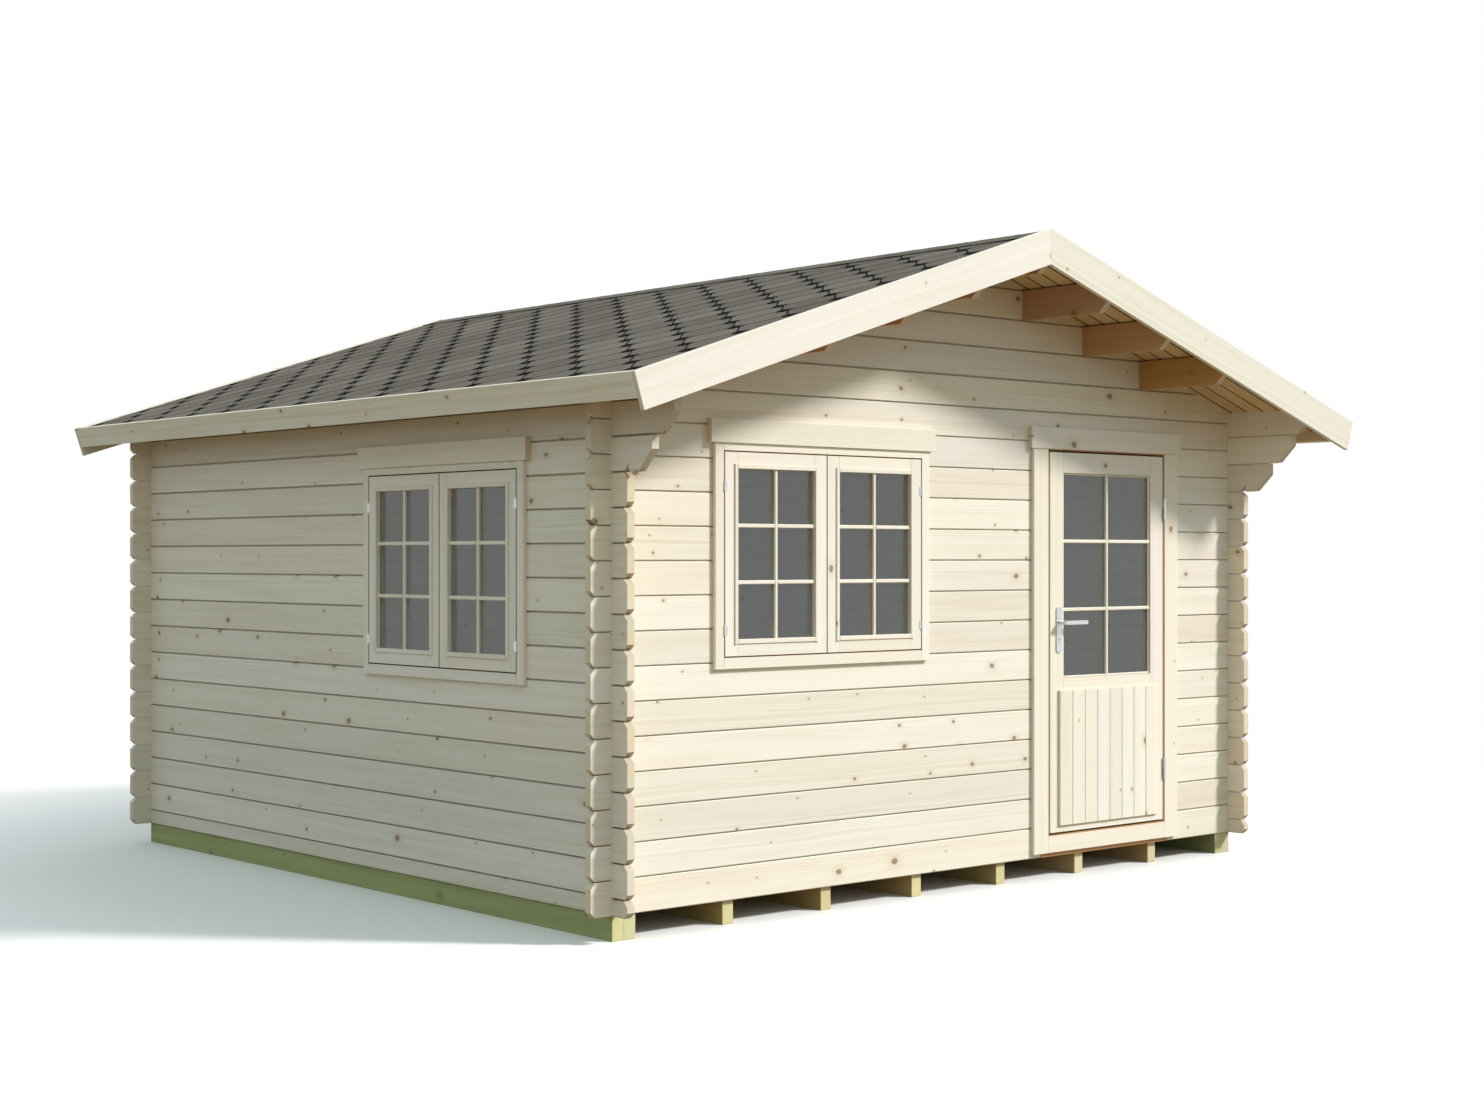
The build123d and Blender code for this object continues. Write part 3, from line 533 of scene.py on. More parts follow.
def steel_material(look):
    """Brushed steel: fine upright scratches in its roughness and tone."""
    s = Shade("brushed steel")
    scratches = zip(s.split(s.place()), (900.0, 900.0, 25.0))
    brush = s.noise(s.vector(*(s.times(*parts) for parts in scratches)))
    return s.principled(
        Base_Color=s.mix(s.times(brush, 0.25), look.steel, DULL_STEEL), Metallic=1.0,
        Roughness=s.span(brush, 0.2, 0.8, 0.30, 0.46))


def gap_shade_seal_material():
    """Seal strip round the sashes, dark brown as painted shade of the gap: slow changes of tone
    along a matt strip.
    """
    s = Shade("brown seal")
    colour = s.mix(s.noise(s.place(), 18.0, 3.0), GAP_SHADE_DARK, GAP_SHADE_PALE)
    return s.principled(Base_Color=colour, Roughness=0.8, Specular_IOR_Level=0.0)


def dark_material():
    """Shadowed inside of a keyhole."""
    s = Shade("keyhole shadow")
    colour = s.mix(s.noise(s.place(), 300.0), SHADOW_DARK, SHADOW_PALE)
    return s.principled(Base_Color=colour, Roughness=0.7)


def made_material(name, maker, *details, **finish):
    """The material of that name, made on first use."""
    return bpy.data.materials.get(name) or maker(*details, **finish)


def timber(scene, kind):
    """One of the woods."""
    look = scene.cabin_timber
    *tints, grade = WOODS[kind]
    colours = [getattr(look, name) for name in tints]
    return made_material(kind, timber_material, kind, look, colours, **grade)


def granules(scene):
    """Mineral face of the shingles."""
    return made_material("shingle granules", shingle_material, scene.cabin_roof)


def steel(scene):
    """Brushed steel of hinges and handle."""
    return made_material("brushed steel", steel_material, scene.cabin_joinery)


def read(items, field, width, kind):
    """One field of a mesh's items as an array, a row for each item."""
    values = np.empty(len(items) * width, kind)
    items.foreach_get(field, values)
    return values.reshape(-1, width)


def mesh_arrays(mesh):
    """Vertices, loop triangles, polygon normals and each polygon's first vertex, as arrays."""
    mesh.calc_loop_triangles()
    points = read(mesh.vertices, "co", 3, np.float32).astype(float)
    triangles = read(mesh.loop_triangles, "vertices", 3, np.int32)
    normals = read(mesh.polygons, "normal", 3, np.float32)
    starts = read(mesh.polygons, "loop_start", 1, np.int32).ravel()
    first = read(mesh.loops, "vertex_index", 1, np.int32).ravel()[starts]
    return points, triangles, normals, first


def solid_labels(points, triangles):
    """Number of the separate solid that each vertex belongs to.

    The lowest place number spreads through the triangles until nothing changes."""
    place = np.unique(np.round(points, 5), axis=0, return_inverse=True)[1].ravel()
    corner = place[triangles]
    label = np.arange(place.max() + 1)
    while True:
        spread = label.copy()
        np.minimum.at(spread, corner.ravel(), np.repeat(label[corner].min(1), 3))
        spread = spread[spread]
        if np.array_equal(spread, label):
            return np.unique(label[place], return_inverse=True)[1].ravel()
        label = spread


def solid_spans(points, label):
    """Lowest and highest corner of each solid."""
    low = np.full((label.max() + 1, 3), np.inf)
    high = -low
    np.minimum.at(low, label, points)
    np.maximum.at(high, label, points)
    return low, high


def solid_boxes(node):
    """Lowest and highest corners of the separate solids in one CAD node."""
    points, triangles, _, _ = mesh_arrays(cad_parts[node].data)
    return solid_spans(points, solid_labels(points, triangles))


def roof_axes(side):
    """Down the slope, along the ridge and square off the roof, for one side of the cabin."""
    down = (side * cos(PITCH), 0.0, -sin(PITCH))
    off = (side * sin(PITCH), 0.0, cos(PITCH))
    return np.array((down, (0.0, 1.0, 0.0), off))


def on_roof(side, run, y, rise):
    """Points on one slope from run down it, place along the ridge and rise off the soffit."""
    run, y, rise = np.broadcast_arrays(run, y, rise)
    x = side * (run * cos(PITCH) + rise * sin(PITCH))
    z = SOFFIT_APEX - run * sin(PITCH) + rise * cos(PITCH)
    return np.stack((x, y, z), -1)


def mark_boards(obj, sloped=False):
    """Store on the mesh, for every solid, its lengthwise coordinates, random numbers and sawn ends.

    The coordinates run from its middle along its longest, middle and shortest sides."""
    mesh = obj.data
    points, triangles, normals, first = mesh_arrays(mesh)
    label = solid_labels(points, triangles)
    count = label.max() + 1
    axes = np.tile(np.eye(3), (count, 1, 1))
    if sloped:
        low, high = solid_spans(points, label)
        side = np.sign(low[:, 0] + high[:, 0])
        axes = np.where((side > 0)[:, None, None], roof_axes(1), roof_axes(-1))
    local = np.einsum("nij,nj->ni", axes[label], points)
    low, high = solid_spans(local, label)
    order = np.argsort(low - high, axis=1, kind="stable")
    grain = np.take_along_axis(local - (low + high)[label] / 2, order[label], axis=1)
    lengthwise = axes[np.arange(count), order[:, 0]]
    ends = np.abs(np.einsum("nj,nj->n", lengthwise[label[first]], normals)) > END_FACING
    rng = np.random.default_rng(zlib.crc32(obj.name.encode()))
    board = rng.random((count, 3))[label]
    for name, kind, domain, field, values in (
        ("grain", "FLOAT_VECTOR", "POINT", "vector", grain),
        ("board", "FLOAT_VECTOR", "POINT", "vector", board),
        ("end_grain", "FLOAT", "FACE", "value", ends),
    ):
        layer = mesh.attributes.new(name, kind, domain)
        layer.data.foreach_set(field, values.astype(np.float32).ravel())


def paint_seam_shade(obj, axis, limit, share=1.0, edge_share=0.0):
    """Store on the mesh how much painted shade a joint gets.

    Faces square to an axis, past the limit, get one share and their eased edges another."""
    tilt = np.abs(mesh_arrays(obj.data)[2][:, axis])
    depth = np.where(tilt > limit, share, np.where(tilt > EASED_FACING, edge_share, 0.0))
    layer = obj.data.attributes.new("seam", "FLOAT", "FACE")
    layer.data.foreach_set("value", depth.astype(np.float32))


def dress(node, material, boards=True, sloped=False, ease=0.0):
    """Give a CAD node its material and, where asked, its grain and softened edges."""
    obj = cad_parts[node]
    if boards:
        mark_boards(obj, sloped)
    obj.data.materials.clear()
    obj.data.materials.append(material)
    if ease:
        weld = obj.modifiers.new("joined faces", "WELD")
        weld.merge_threshold = WELD_REACH
        bevel = obj.modifiers.new("eased edges", "BEVEL")
        bevel.width = ease
        bevel.segments = 2
        bevel.limit_method = "ANGLE"
        bevel.angle_limit = EASED_ANGLE


def lofted(name, rings, material, body, boards=True, sloped=False):
    """Closed pieces from rings of points: piece, place along the path, place round the ring.

    Neighbouring rings are joined by quads and the two end rings are closed by caps."""
    pieces, stations, around, _ = rings.shape
    index = np.arange(pieces * stations * around).reshape(pieces, stations, around)
    near, far = index[:, :-1], index[:, 1:]
    quads = np.stack((near, np.roll(near, -1, 2), np.roll(far, -1, 2), far), -1).reshape(-1, 4)
    caps = np.concatenate((index[:, 0, ::-1], index[:, -1]))
    mesh = bpy.data.meshes.new(name)
    mesh.from_pydata(rings.reshape(-1, 3).tolist(), [], quads.tolist() + caps.tolist())
    solid = bmesh.new()
    solid.from_mesh(mesh)
    bmesh.ops.recalc_face_normals(solid, faces=solid.faces)
    solid.to_mesh(mesh)
    solid.free()
    obj = bpy.data.objects.new(name, mesh)
    bpy.context.scene.collection.objects.link(obj)
    if boards:
        mark_boards(obj, sloped)
    mesh.materials.append(material)
    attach(obj, body)
    return obj


def bar_rings(centres, along, across, half, ease):
    """Straight bars with chamfered sections: an octagon carried along each bar.

    half holds the half length, half width and half depth of each bar, or of all of them. Going
    round the octagon, each corner is trimmed first in its width or first in its depth."""
    centres = np.atleast_2d(centres)
    along = np.broadcast_to(along, centres.shape)
    across = np.broadcast_to(across, centres.shape)
    deep = np.cross(along, across)
    long, wide, thick = np.atleast_2d(half).T[:, :, None]
    trim = ease * np.array((1, 0, 0, 1, 1, 0, 0, 1))
    wide = np.array((1, 1, 1, 1, -1, -1, -1, -1)) * (wide - trim)
    thick = np.array((1, 1, -1, -1, -1, -1, 1, 1)) * (thick - (ease - trim))
    ring = centres[:, None] + wide[..., None] * across[:, None] + thick[..., None] * deep[:, None]
    reach = (long * along)[:, None]
    return np.stack((ring - reach, ring + reach), 1)


def face_bars(centres, lengthwise, out, half, ease):
    """Bars in the plane of a face: their width is square to their length and to the way out."""
    return bar_rings(np.array(centres), lengthwise, np.cross(lengthwise, out), half, ease)


def tube_rings(centres, axis, radius, half, sides=20):
    """Short round pins: a circle carried along the axis."""
    first = np.cross(axis, (0.31, 0.67, 0.43))
    first /= np.linalg.norm(first)
    second = np.cross(axis, first)
    turn = np.linspace(0, 2 * np.pi, sides, endpoint=False)[:, None]
    circle = radius * (np.cos(turn) * first + np.sin(turn) * second)
    ends = np.array((-half, half))[:, None] * axis
    return centres[:, None, None] + ends[None, :, None] + circle[None, None]


class CABIN_OT_timbers(bpy.types.Operator):
    """Give logs, purlins, trim, joinery and bearers their wood"""

    bl_idname = "cabin.timbers"
    bl_label = "Timbers"

    def execute(self, context):
        scene = context.scene
        ease = scene.cabin_timber.edge_ease
        for node in WALL_LOGS:
            dress(node, timber(scene, "spruce log"))
            # Painted shade in the seams, lighter on the front and back walls
            shares = LIGHT_SEAM_SHADE if node in LIGHT_SEAM_SHADE_WALLS else DEEP_SEAM_SHADE
            paint_seam_shade(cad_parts[node], 2, SEAM_FACING, *shares)
        # Purlins and frames get darker copies of the spruce, painted shade under the roof and in
        # the gaps
        for node in PURLINS:
            dress(node, timber(scene, "purlin spruce"))
        for node in SLOPED_TRIM:
            dress(node, timber(scene, "spruce log"), sloped=True, ease=ease)
        dress("side_bearers", timber(scene, "treated bearer"), ease=ease)
        dress("floor_joists", timber(scene, "treated joist"), ease=ease)
        for node in FRAMES:
            dress(node, timber(scene, "frame spruce"), ease=ease)
        joinery = [f"{window}_{piece}" for window in WINDOWS for piece in WINDOW_TIMBER]
        for node in (*joinery, *DOOR_TIMBER):
            dress(node, timber(scene, "spruce joinery"), ease=ease)
        return {"FINISHED"}


class CABIN_OT_panes_and_metal(bpy.types.Operator):
    """Give panes, hinges and handle their glass and steel"""

    bl_idname = "cabin.panes_and_metal"
    bl_label = "Panes and metal"

    def execute(self, context):
        scene = context.scene
        glass = made_material("pane glass", glass_material, scene.cabin_joinery)
        for node in PANES:
            dress(node, glass, boards=False)
        for node in METAL:
            dress(node, steel(scene), boards=False, ease=METAL_EASE)
        return {"FINISHED"}


class CABIN_OT_roof_boards(bpy.types.Operator):
    """Lay the roof boards down both slopes"""

    bl_idname = "cabin.roof_boards"
    bl_label = "Roof boards"

    def execute(self, context):
        look = context.scene.cabin_roof
        wood = timber(context.scene, "roof spruce")
        count = round((DECK_BACK - DECK_FRONT) / look.board_pitch)
        edges = np.linspace(DECK_FRONT, DECK_BACK, count + 1)
        left, right = edges[:-1] + look.board_joint / 2, edges[1:] - look.board_joint / 2
        ease, top = look.board_ease, BOARD_THICKNESS
        # Section of a board: flat on top, chamfered along its lower edges
        y = np.stack((left, left + ease, right - ease, right, right, left), 1)
        rise = np.array((ease, 0, 0, ease, top, top))
        for side, hand in SIDES:
            ridge = on_roof(side, SEAM - rise * tan(PITCH), y, rise)
            rings = np.stack((ridge, on_roof(side, DECK_RUN, y, rise)), 1)
            boards = lofted(f"{hand}_soffit_boards", rings, wood, CABIN, sloped=True)
            # Painted shade in the joints between the roof boards
            paint_seam_shade(boards, 1, EASED_FACING)
            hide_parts(f"{hand}_roof_boards")
        return {"FINISHED"}


def bare_edges(obj, down, material):
    """Give the faces that look straight down the slope the material of the sheet's core."""
    normals = mesh_arrays(obj.data)[2]
    obj.data.materials.append(material)
    bare = (normals @ down > RIM_FACING).astype(np.int32)
    obj.data.polygons.foreach_set("material_index", bare)


class CABIN_OT_shingles(bpy.types.Operator):
    """Cover both slopes with staggered six-sided tabs over an underlay"""

    bl_idname = "cabin.shingles"
    bl_label = "Shingles"

    def execute(self, context):
        look = context.scene.cabin_roof
        flat, exposure, thickness = look.tab_flat, look.exposure, look.tab_thickness
        stone = granules(context.scene)
        bitumen = made_material("bare bitumen", bitumen_material, look)
        rows = np.arange(int((DECK_RUN - look.first_row) / exposure) + 2)
        lower = look.first_row + rows * exposure
        # Tabs of every row, staggered by half a tab
        stagger = (rows[-2] - rows) % 2 / 2
        places = np.arange(-1, int((DECK_BACK - DECK_FRONT) / look.tab_pitch) + 2)
        centre = DECK_FRONT + look.tab_shift + (places[None] + stagger[:, None]) * look.tab_pitch
        half_pitch = look.tab_pitch / 2
        shown = (centre > DECK_FRONT - half_pitch) & (centre < DECK_BACK + half_pitch)
        row, place = np.nonzero(shown)
        centre = centre[row, place][:, None]
        edge = lower[row][:, None]
        # Heights up the slope from each lower edge: along the slanted sides, then under other rows
        lap = np.minimum(2 * exposure + HEAD_LAP, lower - RIDGE_CLEAR)
        short = lap < exposure
        past_eave = np.maximum(lower - DECK_RUN, 0)[:, None]
        top_slant = np.where(short, SHORT_SLANT * lap, exposure)[:, None]
        slant = past_eave + (top_slant - past_eave) * np.linspace(0, 1, 5)
        height = np.concatenate((slant, lap[:, None]), 1)[row]
        widest = (look.tab_pitch - TAB_JOINT) / 2
        half = flat / 2 + (widest - flat / 2) * np.minimum(height / exposure, 1)
        left = np.clip(centre - half, DECK_FRONT, DECK_BACK - EDGE_STRIP)
        right = np.maximum(np.clip(centre + half, DECK_FRONT, DECK_BACK), left + TAB_LEAST)
        run = (edge - height)[:, :, None]
        top = ROOF_COVER - thickness * height / exposure
        under = top - thickness + TAB_AIR
        y = np.stack((left, right, right, left), 2)
        rise = np.stack((under, under, top, top), 2)
        # Bare notch under each straight lower edge: a six-sided patch on the row below
        spot_y = np.array((-0.5, -0.30, 0.30, 0.5, 0.26, -0.26)) * flat
        spot_run = np.array((0.28, 1.0, 1.0, 0.28, 0.0, 0.0)) * look.notch_height
        inside = (centre > DECK_FRONT + flat / 2) & (centre < DECK_BACK - flat / 2)
        inside = (inside & (edge + look.notch_height < DECK_RUN)).ravel()
        notch_run, notch_y = edge[inside] + spot_run, centre[inside] + spot_y
        notch_rise = ROOF_COVER - thickness * (1 - spot_run / exposure) + MARK_LIFT
        # Painted shadow: a dark band along one slanted side of each tab
        band_height = np.array((0.0, 0.5, 1.0, 1.0, 0.5, 0.0)) * exposure
        band_half = flat / 2 + (widest - flat / 2) * band_height / exposure
        band_half -= np.array((0, 0, 0, 1, 1, 1)) * look.shadow_band_width
        band_rise = ROOF_COVER - thickness * band_height / exposure + MARK_LIFT
        band_run = edge - band_height
        full = ~short[row] & (lower[row] < DECK_RUN)
        # Underlay from the ridge to the eave
        sheet_run = np.array((SEAM, DECK_RUN))[:, None]
        sheet_y = np.array((DECK_FRONT, DECK_BACK, DECK_BACK, DECK_FRONT))
        sheet_rise = np.repeat(UNDERLAY_FACES, 2) + BOARD_THICKNESS
        for side, hand in SIDES:
            rings = on_roof(side, run, y, rise)
            tabs = lofted(f"{hand}_shingle_tabs", rings, stone, CABIN)
            bare_edges(tabs, roof_axes(side)[0], bitumen)
            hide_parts(f"{hand}_shingles")
            patches = [
                on_roof(side, notch_run, notch_y, notch_rise + step) for step in NOTCH_FACES]
            band_y = centre - side * band_half
            banded = full & (band_y.min(1) > DECK_FRONT) & (band_y.max(1) < DECK_BACK)
            bands = [
                on_roof(side, band_run[banded], band_y[banded], band_rise + step)
                for step in SHADOW_BAND_FACES]
            # Notch marks and painted shadow bands in one piece
            marks = np.concatenate((np.stack(patches, 1), np.stack(bands, 1)))
            lofted(f"{hand}_shingle_notches", marks, bitumen, CABIN, boards=False)
            sheet = on_roof(side, sheet_run, sheet_y, sheet_rise)[None]
            lofted(f"{hand}_underlay", sheet, stone, CABIN)
        return {"FINISHED"}


class CABIN_OT_ridge_caps(bpy.types.Operator):
    """Lay overlapping caps along the ridge"""

    bl_idname = "cabin.ridge_caps"
    bl_label = "Ridge caps"

    def execute(self, context):
        look = context.scene.cabin_roof
        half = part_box("ridge_cap")[1][0] / cos(PITCH) - CAP_TRIM
        count = round((DECK_BACK - DECK_FRONT) / look.cap_exposure)
        front = np.linspace(DECK_FRONT, DECK_BACK, count, endpoint=False)
        back = np.minimum(front + 2 * look.cap_exposure, DECK_BACK)
        # Section of a cap: a bent strip, rounded where it passes over the ridge
        run = np.array((-1, -0.5, -0.12, 0, 0.12, 0.5, 1)) * half
        side = np.where(run < 0, -1, 1)
        sink = np.array((0, 0, 0.0006, 0.0026, 0.0006, 0, 0))
        crest = run == 0
        rings = []
        for y, lift in ((front, CAP_FRONT_LIFT), (back, CAP_BACK_LIFT)):
            faces = []
            for thickness, order in ((0.0, slice(None)), (CAP_THICKNESS, slice(None, None, -1))):
                rise = ROOF_COVER + lift - thickness - sink
                crown = on_roof(side, np.abs(run), 0.0, rise)
                crown[crest, 0] = 0
                crown[crest, 2] = SOFFIT_APEX + rise[crest] / cos(PITCH) - CAP_CROWN_DROP
                faces.append(crown[order])
            ring = np.tile(np.concatenate(faces), (count, 1, 1))
            ring[:, :, 1] = y[:, None]
            rings.append(ring)
        stone = granules(context.scene)
        caps = lofted("ridge_cap_strips", np.stack(rings, 1), stone, CABIN)
        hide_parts("ridge_cap")
        return {"FINISHED"}


class CABIN_OT_floor_boards(bpy.types.Operator):
    """Lay the floor boards across the joists"""

    bl_idname = "cabin.floor_boards"
    bl_label = "Floor boards"

    def execute(self, context):
        low, high = node_box("floor_boards")
        count = round((high[1] - low[1]) / context.scene.cabin_joinery.floor_pitch)
        width = (high[1] - low[1]) / count
        centres = np.tile((low + high) / 2, (count, 1))
        centres[:, 1] = low[1] + (np.arange(count) + 0.5) * width
        half = ((high[0] - low[0]) / 2, width / 2 - SEAM, (high[2] - low[2]) / 2)
        rings = bar_rings(centres, (1, 0, 0), (0, 1, 0), half, FLOOR_EASE)
        wood = timber(context.scene, "spruce log")
        boards = lofted("floor_planks", rings, wood, CABIN)
        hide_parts("floor_boards")
        return {"FINISHED"}


def along_wall(out):
    """Level direction along the wall that looks out."""
    return np.abs(np.cross(UP, out))


def sashes():
    """Each window's name, its way out, the way along its wall and the corners of its sashes."""
    for window, out in WINDOWS.items():
        yield window, out, along_wall(out), *node_box(f"{window}_sashes")


def outer_face(low, high, out):
    """How far out the outer face of a box stands."""
    return max(low @ out, high @ out)


def grid_bars(low, high, out, look):
    """Bars that divide a pane in two by three, on both faces, from the corners of the pane.

    The upright runs through and the cross bars are cut against it."""
    along = along_wall(out)
    middle = (low + high) / 2
    half_pane = np.abs((high - low) @ out) / 2
    half_wide = (high - low) @ along / 2 - look.rebate
    half_high = (high - low)[2] / 2 - look.rebate
    half_bar, half_depth = look.bar_width / 2, look.bar_depth / 2
    reach = (half_wide - half_bar) / 2
    centres, lengthwise, half = [], [], []
    for face in (1, -1):
        seat = middle + face * out * (half_pane + SEAM + half_depth)
        centres.append(seat)
        lengthwise.append(UP)
        half.append((half_high - SEAM, half_bar, half_depth))
        for level in (-half_high / 3, half_high / 3):
            for hand in (-1, 1):
                centres.append(seat + level * UP + hand * (half_bar + reach) * along)
                lengthwise.append(along)
                half.append((reach - SEAM, half_bar, half_depth))
    return face_bars(centres, lengthwise, out, half, BAR_EASE)


def surround(middle, out, apart, lengths, section, ease, hands=(-1, 1)):
    """Bars round an opening: uprights set apart along the wall, then one bar below and one above.

    apart and lengths hold a half measure for the uprights and one for the cross bars."""
    along = along_wall(out)
    centres = [middle + hand * apart[0] * along for hand in hands]
    centres += [middle + hand * apart[1] * UP for hand in (-1, 1)]
    lengthwise = [UP] * len(hands) + [along] * 2
    half = [(lengths[0], *section)] * len(hands) + [(lengths[1], *section)] * 2
    return face_bars(centres, lengthwise, out, half, ease)


def bead_ring(low, high, out, inset, width, seat, rise):
    """Four beads round an opening: two uprights and two cross pieces between them."""
    middle = (low + high) / 2
    middle = middle + (seat + rise / 2 - middle @ out) * out
    half_wide = (high - low) @ along_wall(out) / 2 - inset
    half_high = (high - low)[2] / 2 - inset
    return surround(
        middle, out, (half_wide + width / 2, half_high + width / 2),
        (half_high + width, half_wide - SEAM), (width / 2, rise / 2), rise * BEAD_EASE)


class CABIN_OT_window_bars(bpy.types.Operator):
    """Fit glazing bars and beads to the windows"""

    bl_idname = "cabin.window_bars"
    bl_label = "Window bars"

    def execute(self, context):
        look = context.scene.cabin_joinery
        wood = timber(context.scene, "spruce joinery")
        for window, out, _, low, high in sashes():
            bead = (look.rebate, look.bead_width, outer_face(low, high, out) - SEAM, look.bead_rise)
            panes = list(zip(*solid_boxes(f"{window}_glass")))
            bars = np.concatenate([grid_bars(*pane, out, look) for pane in panes])
            lofted(f"{window}_bars", bars, wood, CABIN)
            beads = np.concatenate([bead_ring(*pane, out, *bead) for pane in panes])
            lofted(f"{window}_beads", beads, wood, CABIN)
        return {"FINISHED"}


class CABIN_OT_window_gap_shade_seals(bpy.types.Operator):
    """Run a seal strip round each sash, dark brown as painted gap shade"""

    bl_idname = "cabin.window_seals"
    bl_label = "Window seals"

    def execute(self, context):
        look = context.scene.cabin_joinery
        gap_shade = made_material("brown seal", gap_shade_seal_material)
        half_seal, half_depth = look.seal_width / 2, look.seal_depth / 2
        for window, out, along, low, high in sashes():
            middle = (low + high) / 2
            middle += (outer_face(low, high, out) - half_depth + SEAM - middle @ out) * out
            half_wide = (high - low) @ along / 2 + look.seal_width / 4
            half_high = (high - low)[2] / 2 + look.seal_width / 4
            lengths = (half_high - half_seal - SEAM, half_wide + half_seal)
            rings = surround(
                middle, out, (half_wide, half_high), lengths, (half_seal, half_depth), SEAL_EASE,
                hands=(-1, 0, 1))
            # The seals' dark brown is painted shade of the gap round each sash
            lofted(f"{window}_seals", rings, gap_shade, CABIN, boards=False)
        return {"FINISHED"}


class CABIN_OT_window_hinges(bpy.types.Operator):
    """Hang each sash on two small hinges"""

    bl_idname = "cabin.window_hinges"
    bl_label = "Window hinges"

    def execute(self, context):
        look = context.scene.cabin_joinery
        metal = steel(context.scene)
        half_length = look.hinge_length / 2
        half = (half_length - LEAF_TRIM, LEAF_HALF_WIDTH, LEAF_HALF_THICKNESS)
        for window, out, along, low, high in sashes():
            face = outer_face(low, high, out)
            levels = (low[2] + look.hinge_foot, high[2] - look.hinge_head)
            edges = (low @ along - BARREL_ASIDE, high @ along + BARREL_ASIDE)
            barrels = np.array([
                face * out + edge * along + level * UP for edge in edges for level in levels])
            barrels += BARREL_PROUD * out
            tubes = tube_rings(barrels, UP, look.hinge_radius, half_length)
            lofted(f"{window}_hinge_barrels", tubes, metal, CABIN, boards=False)
            inward = np.repeat((1, -1), 2)[:, None] * along
            leaves = barrels + inward * LEAF_HALF_WIDTH - LEAF_SINK * out
            plates = bar_rings(leaves, UP, along, half, LEAF_EASE)
            lofted(f"{window}_hinge_leaves", plates, metal, CABIN, boards=False)
        return {"FINISHED"}


class CABIN_OT_door_bars(bpy.types.Operator):
    """Fit glazing bars and slim beads to the door"""

    bl_idname = "cabin.door_bars"
    bl_label = "Door bars"

    def execute(self, context):
        look = context.scene.cabin_joinery
        wood = timber(context.scene, "spruce joinery")
        low, high = node_box("door_glass")
        lofted("door_bars", grid_bars(low, high, FRONT, look), wood, DOOR)
        half_pane = (high - low)[1] / 2
        middle = (low + high) / 2 @ FRONT
        inset, width = look.rebate + DOOR_BEAD_WIDTH, DOOR_BEAD_WIDTH - SEAM
        seats = (middle + half_pane + SEAM, middle - half_pane - SEAM - DOOR_BEAD_RISE)
        beads = np.concatenate([
            bead_ring(low, high, FRONT, inset, width, seat, DOOR_BEAD_RISE) for seat in seats])
        lofted("door_beads", beads, wood, DOOR)
        return {"FINISHED"}


class CABIN_OT_door_lining(bpy.types.Operator):
    """Line the casing round the door leaf"""

    bl_idname = "cabin.door_lining"
    bl_label = "Door lining"

    def execute(self, context):
        look = context.scene.cabin_joinery
        width, gap = look.lining_width, look.door_gap
        leaf_low, leaf_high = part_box("door_leaf_frame")
        casing_low, casing_high = solid_boxes("door_casing")
        face, back = casing_low[:, 1].min() + look.lining_setback, casing_high[:, 1].max() - SEAM
        left, right = leaf_low[0] - gap - width / 2, leaf_high[0] + gap + width / 2
        sill, top = casing_high[:, 2].min() + SEAM, leaf_high[2] + gap + width
        middle = np.array((left + right, face + back, sill + top)) / 2
        half_wide, half_high = (right - left) / 2, (top - sill) / 2
        rings = surround(
            middle, FRONT, (half_wide, half_high - width / 2),
            (half_high, half_wide - width / 2 - SEAM),
            (width / 2 - SEAM, (back - face) / 2), LINING_EASE)
        # Its brown is the painted shade of the frame spruce
        lofted("door_lining", rings, timber(context.scene, "frame spruce"), CABIN)
        return {"FINISHED"}


class CABIN_OT_lock(bpy.types.Operator):
    """Add the lock barrel, its keyhole and the screws of the handle plates"""

    bl_idname = "cabin.lock"
    bl_label = "Lock"

    def execute(self, context):
        metal = steel(context.scene)
        low, high = node_box("handle_plates")
        x, z = (low[0] + high[0]) / 2, (low[2] + high[2]) / 2
        lock_level = z - LOCK_DROP

        def on_plates(proud, *levels):
            """Places at the given levels on both plates, standing a little proud of them."""
            faces = ((low[1], -1), (high[1], 1))
            return np.array([(x, y + sign * proud, level) for y, sign in faces for level in levels])

        barrels = tube_rings(on_plates(LOCK_PROUD, lock_level), FRONT, LOCK_RADIUS, LOCK_HALF)
        lofted("lock_barrel", barrels, metal, DOOR, boards=False)
        holes = on_plates(KEYHOLE_PROUD, lock_level - KEYHOLE_DROP)
        slots = bar_rings(holes, UP, (1, 0, 0), KEYHOLE_HALF, KEYHOLE_EASE)
        shadow = made_material("keyhole shadow", dark_material)
        lofted("keyhole", slots, shadow, DOOR, boards=False)
        places = on_plates(SCREW_PROUD, low[2] + SCREW_INSET, high[2] - SCREW_INSET)
        screws = tube_rings(places, FRONT, SCREW_RADIUS, SCREW_HALF, SCREW_SIDES)
        lofted("plate_screws", screws, metal, DOOR, boards=False)
        return {"FINISHED"}


def floor_material(look):
    """Pale matt floor that keeps the shadow near the cabin and fades to white further out."""
    s = Shade("studio floor")
    x, y, _ = s.split(s.place())
    seen = s.seen_directly()
    colour = s.mix(seen, look.floor_bounce, look.floor)
    matt = s.node("BsdfPrincipled", Base_Color=colour, Roughness=0.9)
    fade = s.times(s.span(s.distance(x, y), FADE_START, FADE_END), seen)
    white = s.node("Emission", Color=WHITE, Strength=1.0)
    return s.finish(s.blend(fade, matt, white))


def studio_world(look):
    """Soft light from all round, white where it is seen directly."""
    s = Shade("studio", "worlds")
    light = s.node("Background", Color=look.sky, Strength=look.sky_strength)
    white = s.node("Background", Color=WHITE, Strength=1.0)
    return s.finish(s.blend(s.seen_directly(), light, white))


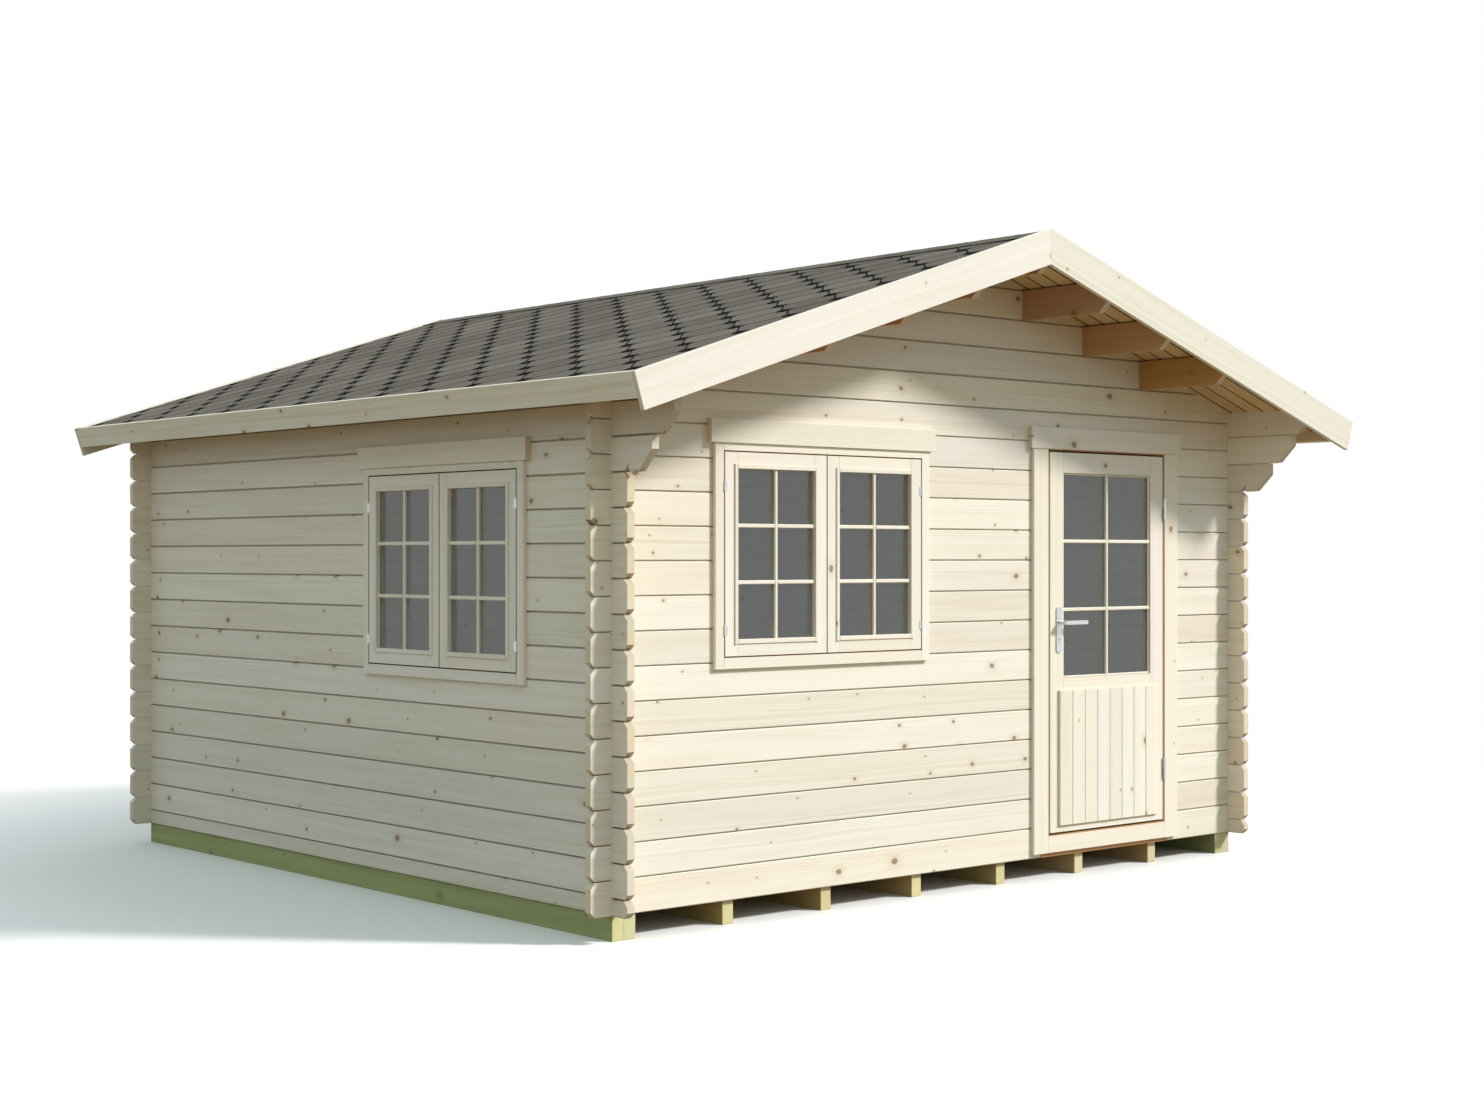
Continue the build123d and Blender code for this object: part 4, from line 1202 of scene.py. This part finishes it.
class CABIN_OT_stage(bpy.types.Operator):
    """Set the floor, the light and the camera"""

    bl_idname = "cabin.stage"
    bl_label = "Stage"

    def execute(self, context):
        scene, look = context.scene, context.scene.cabin_stage
        reach = look.floor_reach
        mesh = bpy.data.meshes.new("studio_floor")
        corners = ((-reach, -reach, 0), (reach, -reach, 0), (reach, reach, 0), (-reach, reach, 0))
        mesh.from_pydata(corners, [], [(0, 1, 2, 3)])
        mesh.materials.append(floor_material(look))
        floor = bpy.data.objects.new("studio_floor", mesh)
        scene.collection.objects.link(floor)
        scene.world = studio_world(look)

        lamp = bpy.data.lights.new("key_light", "SUN")
        lamp.energy, lamp.angle, lamp.color = look.sun_strength, look.sun_softness, look.sun
        key = bpy.data.objects.new("key_light", lamp)
        level = cos(look.sun_height)
        towards = Vector((
            sin(look.sun_turn) * level, -cos(look.sun_turn) * level, sin(look.sun_height)))
        key.rotation_euler = towards.to_track_quat("Z", "Y").to_euler()
        scene.collection.objects.link(key)

        lens = bpy.data.cameras.new("photo_camera")
        lens.sensor_width, lens.lens = SENSOR_WIDTH, look.lens
        lens.clip_end = FAR_END
        camera = bpy.data.objects.new("photo_camera", lens)
        camera.location = look.camera_place
        camera.rotation_euler = (radians(90), 0, -look.camera_turn)
        scene.collection.objects.link(camera)
        scene.camera = camera
        scene.view_settings.view_transform = "Standard"
        return {"FINISHED"}


class CABIN_PT_panel(bpy.types.Panel):
    """Lists the steps that dress the cabin"""

    bl_idname = "CABIN_PT_panel"
    bl_label = "Guest cabin"
    bl_space_type = "VIEW_3D"
    bl_region_type = "UI"
    bl_category = "Cabin"

    def draw(self, context):
        for operator in OPERATORS:
            self.layout.operator(operator.bl_idname)
        for group in GROUPS:
            look = getattr(context.scene, group)
            for name in look.bl_rna.properties.keys():
                if name not in ("rna_type", "name"):
                    self.layout.prop(look, name)


OPERATORS = (
    CABIN_OT_timbers, CABIN_OT_panes_and_metal, CABIN_OT_roof_boards, CABIN_OT_shingles,
    CABIN_OT_ridge_caps, CABIN_OT_floor_boards, CABIN_OT_window_bars, CABIN_OT_window_gap_shade_seals,
    CABIN_OT_window_hinges, CABIN_OT_door_bars, CABIN_OT_door_lining, CABIN_OT_lock,
    CABIN_OT_stage,
)
GROUPS = {
    "cabin_timber": CabinTimberLook,
    "cabin_roof": CabinRoofLook,
    "cabin_joinery": CabinJoineryLook,
    "cabin_stage": CabinStageLook,
}


def register():
    """Register the looks, the steps and the panel."""
    for name, group in GROUPS.items():
        bpy.utils.register_class(group)
        setattr(bpy.types.Scene, name, PointerProperty(type=group))
    for item in (*OPERATORS, CABIN_PT_panel):
        bpy.utils.register_class(item)


def unregister():
    """Take the looks, the steps and the panel away again."""
    for item in (CABIN_PT_panel, *reversed(OPERATORS)):
        bpy.utils.unregister_class(item)
    for name, group in GROUPS.items():
        delattr(bpy.types.Scene, name)
        bpy.utils.unregister_class(group)


def main():
    """Dress the cabin step by step."""
    register()
    for operator in OPERATORS:
        group, step = operator.bl_idname.split(".")
        getattr(getattr(bpy.ops, group), step)()


if __name__ == "__main__":
    main()
